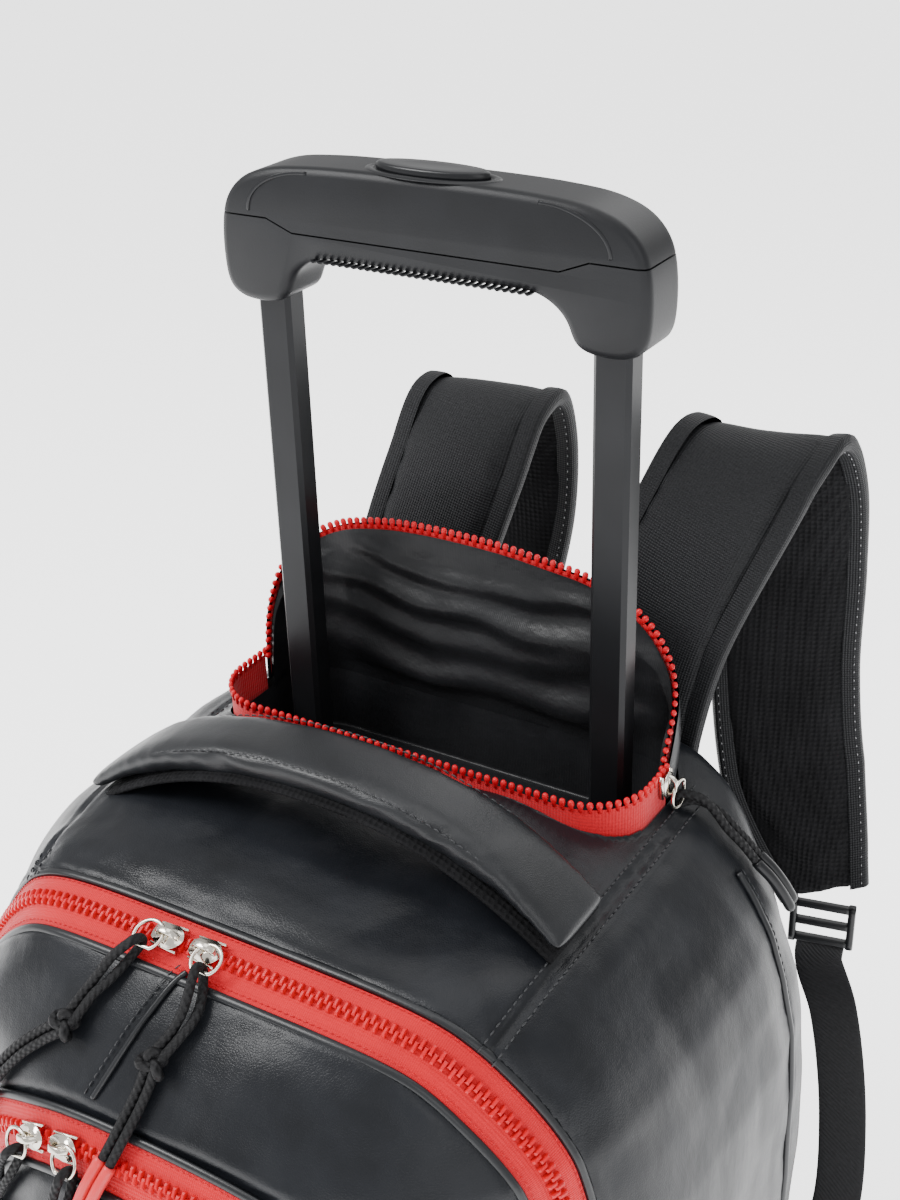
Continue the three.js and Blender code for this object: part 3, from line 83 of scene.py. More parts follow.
# finishes: each bump is (kind, size of one grain in mm, height in mm, stretch along x, y, z)
def makeFinish(name, colour, rough, metal=0.0, bumps=(), spread=0.0, roughSpread=0.0, byUv=False, sheen=0.0,
               specular=0.5, spreadSize=30.0):
    material = bpy.data.materials.new(name)
    material.use_nodes = True
    nodes, links = material.node_tree.nodes, material.node_tree.links
    shader = nodes["Principled BSDF"]
    shader.inputs["Base Color"].default_value = (*colour, 1)
    shader.inputs["Roughness"].default_value = rough
    shader.inputs["Metallic"].default_value = metal
    shader.inputs["Sheen Weight"].default_value = sheen
    shader.inputs["Specular IOR Level"].default_value = specular
    place = nodes.new("ShaderNodeTexCoord")
    source = place.outputs["UV" if byUv else "Object"]

    def texture(kind, size, stretch):
        mapping = nodes.new("ShaderNodeMapping")
        mapping.inputs["Scale"].default_value = stretch
        links.new(source, mapping.inputs["Vector"])
        if kind == "noise":
            node = nodes.new("ShaderNodeTexNoise")
            node.inputs["Scale"].default_value = 1000 / size
            node.inputs["Detail"].default_value = 3
            out = node.outputs["Fac"]
        elif kind in ("grain", "holes"):
            node = nodes.new("ShaderNodeTexVoronoi")
            node.feature = "DISTANCE_TO_EDGE" if kind == "grain" else "F1"
            node.inputs["Scale"].default_value = 1000 / size
            node.inputs["Randomness"].default_value = 1.0 if kind == "grain" else 0.12
            out = node.outputs["Distance"]
            ramp = nodes.new("ShaderNodeMapRange")
            ramp.inputs["From Max"].default_value = 0.25 if kind == "grain" else 0.62
            links.new(out, ramp.inputs["Value"])
            out = ramp.outputs["Result"]
        else:
            node = nodes.new("ShaderNodeTexWave")
            node.wave_type = "BANDS"
            node.bands_direction = {"waveX": "X", "waveY": "Y", "twill": "DIAGONAL"}[kind]
            node.inputs["Scale"].default_value = 314 / size
            out = node.outputs["Fac"]
        links.new(mapping.outputs["Vector"], node.inputs["Vector"])
        return out

    height = None
    for kind, size, tall, stretch in bumps:
        scaled = nodes.new("ShaderNodeMath")
        scaled.operation = "MULTIPLY"
        scaled.inputs[1].default_value = tall
        links.new(texture(kind, size, stretch), scaled.inputs[0])
        if height is None:
            height = scaled.outputs[0]
        else:
            added = nodes.new("ShaderNodeMath")
            added.operation = "ADD"
            links.new(height, added.inputs[0])
            links.new(scaled.outputs[0], added.inputs[1])
            height = added.outputs[0]
    if height is not None:
        bump = nodes.new("ShaderNodeBump")
        bump.inputs["Distance"].default_value = 0.001
        links.new(height, bump.inputs["Height"])
        links.new(bump.outputs["Normal"], shader.inputs["Normal"])
    if spread or roughSpread:
        cloud = texture("noise", spreadSize, (1, 1, 1))
        if spread:
            ramp = nodes.new("ShaderNodeValToRGB")
            ramp.color_ramp.elements[0].position, ramp.color_ramp.elements[1].position = 0.3, 0.7
            ramp.color_ramp.elements[0].color = (*[c * (1 - spread) for c in colour], 1)
            ramp.color_ramp.elements[1].color = (*[min(1, c * (1 + spread)) for c in colour], 1)
            links.new(cloud, ramp.inputs["Fac"])
            links.new(ramp.outputs["Color"], shader.inputs["Base Color"])
        if roughSpread:
            span = nodes.new("ShaderNodeMapRange")
            span.inputs["From Min"].default_value, span.inputs["From Max"].default_value = 0.3, 0.7
            span.inputs["To Min"].default_value = rough - roughSpread
            span.inputs["To Max"].default_value = rough + roughSpread
            links.new(cloud, span.inputs["Value"])
            links.new(span.outputs["Result"], shader.inputs["Roughness"])
    return material


even = (1, 1, 1)
leather = makeFinish("softLeather", (0.0085, 0.0096, 0.0122), 0.33, specular=0.26, spread=0.25, roughSpread=0.05,
                     bumps=[
    ("grain", 1.1, 0.035, even), ("noise", 5.0, 0.10, even), ("noise", 26, 0.9, (1, 1, 0.45))])
padLeather = makeFinish("handleLeather", (0.0095, 0.0105, 0.0125), 0.36, specular=0.42, spread=0.2, roughSpread=0.04,
                        bumps=[
    ("grain", 1.0, 0.03, even), ("noise", 6.0, 0.10, even), ("noise", 22, 0.35, (1, 0.5, 1))])
edgeLeather = makeFinish("pipingLeather", (0.010, 0.011, 0.013), 0.33, specular=0.42, spread=0.2,
                         bumps=[("noise", 2.0, 0.06, even)])
tapeRed = makeFinish("zipTape", (0.60, 0.004, 0.012), 0.62, specular=0.2, byUv=True, spread=0.08, sheen=0.2, bumps=[
    ("waveX", 1.5, 0.12, even), ("waveY", 0.9, 0.10, even), ("noise", 1.5, 0.08, even)])
toothRed = makeFinish("zipTeeth", (0.62, 0.005, 0.014), 0.32, specular=0.3, spread=0.06,
                      bumps=[("noise", 1.0, 0.03, even)])
liningNylon = makeFinish("pouchNylon", (0.012, 0.0125, 0.014), 0.40, specular=0.3, spread=0.25, roughSpread=0.05,
                         bumps=[
    ("waveX", 0.9, 0.04, even), ("noise", 14, 0.8, (1, 1, 1.6)), ("noise", 4, 0.08, even)])
strapNylon = makeFinish("strapWeave", (0.013, 0.0135, 0.015), 0.50, specular=0.18, byUv=True, spread=0.3,
                        spreadSize=1.2,
                        bumps=[
    ("waveX", 1.3, 0.16, even), ("waveY", 1.3, 0.16, even), ("noise", 9, 0.15, even)])
airMesh = makeFinish("airMesh", (0.009, 0.009, 0.010), 0.85, specular=0.12, spread=0.3, bumps=[
    ("holes", 2.6, 0.9, even), ("noise", 1.2, 0.08, even)])
bindingTape = makeFinish("edgeBinding", (0.012, 0.012, 0.013), 0.65, specular=0.15, byUv=True, spread=0.2, bumps=[
    ("waveY", 1.0, 0.12, even)])
herringbone = makeFinish("webbingTwill", (0.013, 0.013, 0.0145), 0.58, specular=0.18, byUv=True, spread=0.25,
                         spreadSize=2,
                         bumps=[
    ("twill", 1.3, 0.18, even), ("waveY", 0.8, 0.06, even)])
mouldedPlastic = makeFinish("grainedPlastic", (0.0105, 0.011, 0.0125), 0.40, specular=0.22, spread=0.15, bumps=[
    ("noise", 0.8, 0.05, even)])
smoothPlastic = makeFinish("buttonPlastic", (0.009, 0.0095, 0.011), 0.28, specular=0.3, spread=0.1,
                           bumps=[("noise", 1.2, 0.012, even)])
satinTube = makeFinish("satinTube", (0.011, 0.0115, 0.013), 0.36, specular=0.3, metal=0.35, spread=0.15, bumps=[
    ("noise", 0.7, 0.012, (1, 1, 0.2))])
nickel = makeFinish("warmNickel", (0.80, 0.75, 0.66), 0.16, metal=1.0, spread=0.08, spreadSize=4, bumps=[
    ("noise", 3, 0.012, even)])
braid = makeFinish("cordBraid", (0.010, 0.010, 0.011), 0.62, specular=0.2, byUv=True, spread=0.3, spreadSize=1,
                   bumps=[
    ("twill", 1.7, 0.30, even), ("twill", 1.7, 0.30, (-1, 1, 1))])
tipRed = makeFinish("shrinkTip", (0.70, 0.030, 0.036), 0.38, spread=0.08, bumps=[("noise", 2, 0.05, even)])
rubber = makeFinish("tyreRubber", (0.016, 0.016, 0.017), 0.68, specular=0.2, spread=0.2,
                    bumps=[("noise", 1.2, 0.08, even)])
thread = makeFinish("blackThread", (0.020, 0.021, 0.024), 0.55, spread=0.2, bumps=[("noise", 0.5, 0.05, even)])
paleThread = makeFinish("paleThread", (0.30, 0.30, 0.31), 0.6, spread=0.3, bumps=[("noise", 0.5, 0.05, even)])
print("finishes made")


# lines and meshes
def smoothLine(points, perSpan=14):
    line = np.asarray(points, float)
    line = np.vstack([2 * line[0] - line[1], line, 2 * line[-1] - line[-2]])
    out = []
    for i in range(1, len(line) - 2):
        p0, p1, p2, p3 = line[i - 1:i + 3]
        t1 = math.sqrt(np.linalg.norm(p1 - p0))
        t2 = t1 + math.sqrt(np.linalg.norm(p2 - p1))
        t3 = t2 + math.sqrt(np.linalg.norm(p3 - p2))
        for t in np.linspace(t1, t2, perSpan, endpoint=False):
            a1 = p0 + (p1 - p0) * t / t1
            a2 = p1 + (p2 - p1) * (t - t1) / (t2 - t1)
            a3 = p2 + (p3 - p2) * (t - t2) / (t3 - t2)
            b1 = a1 + (a2 - a1) * t / t2
            b2 = a2 + (a3 - a2) * (t - t1) / (t3 - t1)
            out.append(b1 + (b2 - b1) * (t - t1) / (t2 - t1))
    return np.array(out + [line[-2]])


def runOf(line):
    return np.concatenate([[0], np.cumsum(np.linalg.norm(np.diff(line, axis=0), axis=1))])


def atSteps(line, spacing=None, count=None):
    run = runOf(line)
    count = count or max(2, int(round(run[-1] / spacing)) + 1)
    spots = np.linspace(0, run[-1], count)
    return np.stack([np.interp(spots, run, line[:, k]) for k in range(3)], axis=1)


def unit(vectors):
    return vectors / np.maximum(np.linalg.norm(vectors, axis=-1, keepdims=True), 1e-9)


def directions(line):
    return unit(np.gradient(line, axis=0))


def addPiece(name, points, faces, finish, body="bag", replaces=(), slot=None, smooth=True, uv=None, fixNormals=True):
    mesh = bpy.data.meshes.new(name)
    mesh.from_pydata(toFrame(points).tolist(), [], faces)
    if uv is not None:
        layer = mesh.uv_layers.new(name="lay")
        flat = np.zeros((len(mesh.loops), 2))
        flat[:len(uv)] = uv / 1000
        layer.data.foreach_set("uv", flat.ravel())
    if fixNormals:
        shape = bmesh.new()
        shape.from_mesh(mesh)
        bmesh.ops.recalc_face_normals(shape, faces=shape.faces)
        shape.to_mesh(mesh)
        shape.free()
    mesh.polygons.foreach_set("use_smooth", [smooth] * len(mesh.polygons))
    piece = bpy.data.objects.new(name, mesh)
    bpy.context.scene.collection.objects.link(piece)
    mesh.materials.append(finish)
    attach(piece, body)
    if replaces:
        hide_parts(*([replaces] if isinstance(replaces, str) else replaces))
    return piece


def gridFaces(rows, cols, wrap):
    last = cols if wrap else cols - 1
    r, c = np.meshgrid(np.arange(rows - 1), np.arange(last), indexing="ij")
    a, b = r * cols + c, r * cols + (c + 1) % cols
    return np.stack([a, b, b + cols, a + cols], axis=-1).reshape(-1, 4)


def addGrid(name, rings, finish, wrap=True, caps=True, **rest):
    rings = np.asarray(rings, float)
    rows, cols, _ = rings.shape
    faces = gridFaces(rows, cols, wrap)
    last = cols if wrap else cols - 1
    along = runOf(rings.mean(axis=1)) if wrap else runOf(rings[:, cols // 2])
    middle = rings[rows // 2]
    around = runOf(np.vstack([middle, middle[:1]]) if wrap else middle)
    r, c = np.meshgrid(np.arange(rows - 1), np.arange(last), indexing="ij")
    corners = [(r, c), (r, c + 1), (r + 1, c + 1), (r + 1, c)]
    uv = np.stack([np.stack([around[cc], along[rr]], axis=-1) for rr, cc in corners], axis=2).reshape(-1, 2)
    faces = faces.tolist()
    if wrap and caps:
        faces += [list(range(cols))[::-1], [(rows - 1) * cols + i for i in range(cols)]]
    return addPiece(name, rings.reshape(-1, 3), faces, finish, uv=uv, **rest)


def addSweep(name, line, across, out, section, finish, **rest):
    section = np.asarray(section, float)
    if section.ndim == 2:
        section = np.repeat(section[None], len(line), axis=0)
    rings = line[:, None] + section[..., 0:1] * across[:, None] + section[..., 1:2] * out[:, None]
    return addGrid(name, rings, finish, **rest)


def roundSection(radius, count=12):
    turn = np.arange(count) * 2 * math.pi / count
    return np.stack([np.cos(turn), np.sin(turn)], axis=1) * radius


def padSection(width, thick, count=36, square=2.6):
    turn = np.arange(count) * 2 * math.pi / count
    c, s = np.cos(turn), np.sin(turn)
    flat = 5.0
    return np.stack([np.sign(c) * np.abs(c) ** (2 / flat) * width / 2,
                     np.sign(s) * np.abs(s) ** (2 / square) * thick / 2], axis=1)


def carried(line, firstOut):
    ahead = directions(line)
    out = np.asarray(firstOut, float)
    outs = []
    for step in ahead:
        out = out - step * out.dot(step)
        out /= np.linalg.norm(out)
        outs.append(out)
    outs = np.array(outs)
    return np.cross(ahead, outs), outs


def addCopies(name, template, faces, places, along, across, out, finish, **rest):
    template = np.asarray(template, float)
    points = (places[:, None] + template[None, :, 0:1] * along[:, None] + template[None, :, 1:2] * across[:, None]
              + template[None, :, 2:3] * out[:, None]).reshape(-1, 3)
    count = len(template)
    allFaces = [[i + k * count for i in face] for k in range(len(places)) for face in faces]
    return addPiece(name, points, allFaces, finish, **rest)


# one stitch: a short thick thread sunk at both ends, drawn along x
def stitchShape(length, thick):
    rings = []
    for x, share, high in ((-0.5, 0.35, -0.25), (-0.3, 0.9, 0.2), (0, 1, 0.35), (0.3, 0.9, 0.2), (0.5, 0.35, -0.25)):
        for k in range(6):
            turn = k * math.pi / 3
            rise = math.sin(turn) / 2 * share + high
            rings.append((x * length, math.cos(turn) * thick / 2 * share, rise * thick))
    faces = gridFaces(5, 6, True).tolist() + [list(range(6))[::-1], list(range(24, 30))]
    return rings, faces


def addStitches(name, line, out, finish, length=2.9, pitch=3.9, thick=0.75, **rest):
    run = runOf(line)
    spots = np.arange(pitch / 2, run[-1], pitch)
    mix = lambda data: np.stack([np.interp(spots, run, data[:, k]) for k in range(3)], axis=1)
    along, outs = unit(mix(directions(line))), unit(mix(out))
    across = unit(np.cross(outs, along))
    along = unit(along + across * dice.normal(0, 0.05, (len(spots), 1)))
    template, faces = stitchShape(length, thick)
    return addCopies(name, template, faces, mix(line), along, across, outs, finish, **rest)


# the bag's own surface
bag = {"halfWidth": 178.0, "front": 262.0, "back": 48.0, "bottom": 45.0, "top": 461.0, "middle": 60.0,
       "pillow": 2.4, "creases": 2.1, "topSeam": 117.0, "leftLift": 6.0}
bagSections = np.array([  # up, wide, front, back, frontRound, backRound
    (0, 0.84, 0.86, 0.8, 3.2, 4), (0.03, 0.92, 0.93, 0.95, 3, 5), (0.13, 0.965, 0.98, 1, 2.8, 6),
    (0.32, 0.99, 1, 1, 2.5, 6), (0.52, 1, 1, 1, 2.3, 6), (0.64, 0.995, 0.982, 1, 2.2, 6),
    (0.72, 0.98, 0.952, 1, 2.25, 6), (0.79, 0.945, 0.908, 1, 2.5, 6), (0.84, 0.905, 0.864, 1, 2.8, 6.5),
    (0.88, 0.85, 0.818, 1, 3, 7), (0.915, 0.785, 0.775, 1, 3.4, 8), (0.945, 0.72, 0.73, 0.99, 4, 8),
    (0.966, 0.65, 0.67, 0.95, 5, 8), (0.982, 0.53, 0.59, 0.86, 5, 7), (0.994, 0.34, 0.48, 0.66, 4, 5),
    (1, 0.0, 0.229, -1.25, 3, 3)])
mainZipLine = [(-0.1, 0.72), (0.035, 0.678), (0.08, 0.664), (0.14, 0.645), (0.3, 0.63), (0.55, 0.62), (0.85, 0.62)]
pocketZipLine = [(0.08, 0.95), (0.17, 0.908), (0.21, 0.89), (0.255, 0.86), (0.37, 0.815), (0.55, 0.795), (0.83, 0.79)]
tall = bag["top"] - bag["bottom"]
upSteps = np.linspace(0, 1, 1601)
blur = np.exp(-0.5 * (np.arange(-24, 25) / 9) ** 2)
blur /= blur.sum()
sectionTable = []
for column in range(1, 6):
    rough = np.interp(upSteps, bagSections[:, 0], bagSections[:, column])
    soft = np.convolve(np.pad(rough, 24, mode="edge"), blur, mode="valid")
    keep = np.clip((upSteps - 0.955) / 0.03, 0, 1)
    sectionTable.append(soft * (1 - keep) + rough * keep)


def sectionAt(up):
    return [np.interp(up, upSteps, column) for column in sectionTable]


def bagField(p):
    wide, front, back, frontRound, backRound = sectionAt(np.clip((p[:, 2] - bag["bottom"]) / tall, 0, 1))
    ahead = p[:, 1] < -bag["middle"]
    depth = np.where(ahead, front * bag["front"] - bag["middle"], back * bag["back"] + bag["middle"])
    power = np.where(ahead, frontRound, backRound)
    x = np.abs(p[:, 0]) / np.maximum(wide * bag["halfWidth"], 0.5)
    y = np.abs(p[:, 1] + bag["middle"]) / np.maximum(depth, 0.5)
    return x ** power + y ** power - 1


def fieldSlope(p, step=0.8):
    slope = np.zeros_like(p)
    for k in range(3):
        shift = np.zeros(3)
        shift[k] = step
        slope[:, k] = (bagField(p + shift) - bagField(p - shift)) / (2 * step)
    return slope


def onBag(p, lift=0.0, rounds=6):
    p = np.array(p, float)
    for _ in range(rounds):
        slope = fieldSlope(p)
        size = np.maximum(np.linalg.norm(slope, axis=1, keepdims=True), 1e-6)
        move = np.clip(bagField(p)[:, None] / size, -4, 4)
        p -= move * slope / size
    out = unit(fieldSlope(p))
    return p + out * lift, out


def sideLine(table):
    flat = np.array([(0, -ahead * bag["front"], bag["top"] - down * tall) for down, ahead in table])
    return smoothLine(flat, 6)[:, 1:]


sideLines = {"main": sideLine(mainZipLine), "pocket": sideLine(pocketZipLine)}


# how far behind (+) or ahead (-) of a zip's line a point lies, seen from the side
def behindZip(p, zipName):
    line = sideLines[zipName]
    flat = p[:, 1:]
    best = np.full(len(p), 1e9)
    sign = np.ones(len(p))
    for a, b in zip(line[:-1], line[1:]):
        leg = b - a
        share = np.clip(((flat - a) @ leg) / (leg @ leg), 0, 1)
        offset = flat - (a + share[:, None] * leg)
        far = np.hypot(offset[:, 0], offset[:, 1])
        near = far < best
        best = np.where(near, far, best)
        side = leg[0] * offset[:, 1] - leg[1] * offset[:, 0]
        sign = np.where(near, np.where(side > 0, 1, -1), sign)
    return best * sign


def cloud(p, size, seed, stretch=(1, 1, 1)):
    own = np.random.default_rng(seed)
    total = np.zeros(len(p))
    q = p * np.asarray(stretch) / size
    for _ in range(14):
        way = own.normal(size=3)
        total += np.sin(q @ (way / np.linalg.norm(way) * own.uniform(3, 8)) + own.uniform(0, 6.3))
    return total / 3.7


# the middle line of a zip, from its right foot over the top to its left foot
def zipMiddle(zipName):
    line = sideLines[zipName]
    order = np.argsort(line[:, 1])
    zs, ys = line[order, 1], line[order, 0]
    low, high = zs[0], bag["top"]
    for _ in range(50):
        middle = (low + high) / 2
        inside = bagField(np.array([[0, np.interp(middle, zs, ys), middle]]))[0] < 0
        low, high = (middle, high) if inside else (low, middle)
    z = low - (low - zs[0]) * np.linspace(1, 0, 900) ** 2.2
    y = np.interp(z, zs, ys)
    nearX, farX = np.zeros(len(z)), np.full(len(z), 200.0)
    for _ in range(40):
        middle = (nearX + farX) / 2
        inside = bagField(np.stack([middle, y, z], axis=1)) < 0
        nearX, farX = np.where(inside, middle, nearX), np.where(inside, farX, middle)
    right = np.stack([nearX, y, z], axis=1)
    left = right[::-1][1:] * np.array([-1, 1, 1])
    line = atSteps(np.vstack([right, left]), spacing=2.1)
    for _ in range(6):
        line[1:-1] = (line[:-2] + 2 * line[1:-1] + line[2:]) / 4
    return onBag(line)


seamTop = {side: onBag(np.stack([np.full(60, side * bag["topSeam"]), np.linspace(22, -172, 60),
                                 np.full(60, 446.0)], axis=1)) for side in (1, -1)}
centreSeam = onBag(smoothLine([(-11, -186, 441), (-13.4, -189.4, 439), (-22, -204.7, 422.6), (-29.4, -217.4, 405),
                               (-33, -223, 396)]))
sideSeam = {side: onBag(smoothLine([(side * 150, 4, 428), (side * 165, 2, 384), (side * 174.6, 1, 328),
                                    (side * 176.3, -2, 297), (side * 176.7, -1, 250), (side * 174, 0, 180),
                                    (side * 168, 0, 100)])) for side in (1, -1)}


def nearest(p, line, reach=60):
    best = np.full(len(p), float(reach))
    for spot in atSteps(line, spacing=3):
        far = np.linalg.norm(p - spot, axis=1)
        best = np.minimum(best, far)
    return best


skin = {"zipSunk": 1.9, "zipHalf": 12.6, "zipEdge": 1.6, "zipWelt": 0.9, "weltAt": 14.5, "weltWide": 2.6,
        "seamSunk": 1.0, "seamWide": 1.7, "seamWelt": 0.5, "seamWeltAt": 4, "seamWeltWide": 2.2, "quietFrom": 22,
        "pucker": 0.55, "puckerSize": 22, "creaseSize": 95, "ridge": 0.8, "ridgeSize": 46,
        "cordFrom": 12, "cordTo": 34}


def swell(p, out):
    move = np.zeros(len(p))
    band = np.full(len(p), 90.0)
    for zipName in ("main", "pocket"):
        d = np.abs(behindZip(p, zipName))
        band = np.minimum(band, d)
        move -= skin["zipSunk"] * np.clip((skin["zipHalf"] - d) / skin["zipEdge"], 0, 1)
        move += skin["zipWelt"] * np.exp(-((d - skin["weltAt"]) / skin["weltWide"]) ** 2)
    seams = band - 12
    for line in (seamTop[1], seamTop[-1], centreSeam, sideSeam[1], sideSeam[-1]):
        d = nearest(p, line[0])
        seams = np.minimum(seams, d)
        move -= skin["seamSunk"] * np.exp(-(d / skin["seamWide"]) ** 2)
        move += skin["seamWelt"] * np.exp(-((d - skin["seamWeltAt"]) / skin["seamWeltWide"]) ** 2)
    quiet = np.clip(seams / skin["quietFrom"], 0, 1)
    move += bag["pillow"] * quiet * (2 - quiet)
    pucker = np.exp(-np.clip(seams, 0, 60) / 9)
    move += skin["pucker"] * pucker * cloud(p, skin["puckerSize"], 3) * np.clip(seams / 3, 0, 1)
    move += bag["creases"] * quiet * cloud(p, skin["creaseSize"], 5, (1, 1, 0.42))
    move += skin["ridge"] * quiet * np.abs(cloud(p, skin["ridgeSize"], 9, (1, 1, 0.4)))
    underCord = np.full(len(p), 60.0)
    for pull in pulls.values():
        underCord = np.minimum(underCord, nearest(p, smoothLine(pull["route"])))
    clearOfCords = np.clip((underCord - skin["cordFrom"]) / (skin["cordTo"] - skin["cordFrom"]), 0, 1)
    move = np.where(move > 0, move * clearOfCords, move)
    return p + out * move[:, None]


# the trolley well's outline from above: a rounded rectangle
wellRim = {"halfWidth": 109.5, "halfDepth": 40, "corner": 28, "ahead": 6.0}
wellCore = np.array((wellRim["halfWidth"] - wellRim["corner"], wellRim["halfDepth"] - wellRim["corner"]))


def well(p):
    q = np.stack([np.abs(p[:, 0]) - wellCore[0], np.abs(p[:, 1] + wellRim["ahead"]) - wellCore[1]], axis=1)
    outside = np.linalg.norm(np.maximum(q, 0), axis=1)
    return outside + np.minimum(np.maximum(q[:, 0], q[:, 1]), 0) - wellRim["corner"]


def skinRings(rows=232, perQuarter=88):
    dense = np.linspace(0, 0.9992, 5000)
    wide, front, _, _, _ = sectionAt(dense)
    steps = np.sqrt(np.diff(dense * tall) ** 2 + 0.6 * np.diff(wide * bag["halfWidth"]) ** 2
                    + 0.4 * np.diff(front * bag["front"]) ** 2)
    run = np.concatenate([[0], np.cumsum(steps)])
    rings = []
    for up in np.interp(np.linspace(0, run[-1], rows), run, dense):
        wide, front, back, frontRound, backRound = [float(v) for v in sectionAt(up)]
        quarters = []
        for depth, power in ((back * bag["back"] + bag["middle"], backRound),
                             (front * bag["front"] - bag["middle"], frontRound)):
            turn = np.linspace(0, math.pi / 2, 200)
            x = wide * bag["halfWidth"] * np.cos(turn) ** (2 / power)
            y = max(depth, 0.01) * np.sin(turn) ** (2 / power)
            quarters.append(atSteps(np.stack([x, y, 0 * x], axis=1), count=perQuarter + 1))
        backQuarter, frontQuarter = quarters
        ring = np.vstack([backQuarter[:-1], (backQuarter[::-1] * (-1, 1, 1))[:-1],
                          (frontQuarter * (-1, -1, 1))[:-1], (frontQuarter[::-1] * (1, -1, 1))[:-1]])
        ring[:, 1] -= bag["middle"]
        ring[:, 2] = bag["bottom"] + up * tall
        rings.append(ring)
    return np.array(rings)


# where the skin is left open: the trolley well, and the wheel arches' inner corner at x, y and z
openings = {"wellAbove": 425, "rimInside": 3.2, "rimOutside": 0.8, "wheelArch": (119.1, -24.9, 77.9)}


def makeSkins():
    rings = skinRings()
    rows, cols, _ = rings.shape
    p = rings.reshape(-1, 3)
    out = unit(fieldSlope(p))
    moved = swell(p, out)
    moved[:, 2] += bag["leftLift"] * np.exp(-((p[:, 0] + 105) / 55) ** 2) * np.clip((p[:, 2] - 330) / 110, 0, 1) \
        * np.clip((-p[:, 1] - 30) / 60, 0, 1) * np.clip((behindZip(p, "main") - 12) / 50, 0, 1)
    hole = well(p)
    top = p[:, 2] > openings["wellAbove"]
    onRim = top & (hole > -openings["rimInside"]) & (hole < openings["rimOutside"])
    step = 0.5
    rimWay = np.stack([well(p + (step, 0, 0)) - well(p - (step, 0, 0)),
                       well(p + (0, step, 0)) - well(p - (0, step, 0)),
                       np.zeros(len(p))], axis=1)
    rimWay = unit(rimWay)
    moved[onRim] -= rimWay[onRim] * (hole[onRim] - 0.2)[:, None]
    drop = top & (hole <= -openings["rimInside"])
    archX, archY, archZ = openings["wheelArch"]
    arch = np.stack([np.abs(p[:, 0]) - archX, p[:, 1] - archY, archZ - p[:, 2]], axis=1).min(axis=1)
    drop |= arch > 1.5
    faces = gridFaces(rows, cols, True)
    faces = faces[~drop[faces].any(axis=1)]
    centres = p[faces].mean(axis=1)
    isPocket = (behindZip(centres, "pocket") < 0) & (centres[:, 2] > bag["bottom"] + 20)
    crown = [[(rows - 1) * cols + i for i in range(cols)]]
    return moved, faces, isPocket, crown


# padded pieces are blown up a little by a cloth simulation
def puff(piece, pressure=4.0, cap=0.006, voxel=0.0045):
    scene = bpy.context.scene
    remesh = piece.modifiers.new("even", "REMESH")
    remesh.mode, remesh.voxel_size = "VOXEL", voxel
    bakeModifiers(piece)
    start = np.array([v.co for v in piece.data.vertices])
    cloth = piece.modifiers.new("cloth", "CLOTH")
    cloth.settings.use_pressure = True
    cloth.settings.uniform_pressure_force = pressure
    cloth.settings.effector_weights.gravity = 0
    cloth.settings.quality = 5
    cloth.settings.mass = 0.3
    for step in range(1, 21):
        scene.frame_set(step)
    bakeModifiers(piece)
    end = np.array([v.co for v in piece.data.vertices])
    move = end - start
    size = np.linalg.norm(move, axis=1, keepdims=True)
    move *= np.minimum(1, cap / np.maximum(size, 1e-9))
    piece.data.vertices.foreach_set("co", (start + move).ravel())
    scene.frame_set(1)
    finer = piece.modifiers.new("finer", "SUBSURF")
    finer.levels = finer.render_levels = 1
    bakeModifiers(piece)
    piece.data.polygons.foreach_set("use_smooth", [True] * len(piece.data.polygons))


def bakeModifiers(piece):
    bpy.context.view_layer.update()
    view = piece.evaluated_get(bpy.context.evaluated_depsgraph_get())
    mesh = bpy.data.meshes.new_from_object(view)
    materials = list(piece.data.materials)
    piece.modifiers.clear()
    piece.data = mesh
    mesh.materials.clear()
    for material in materials:
        mesh.materials.append(material)


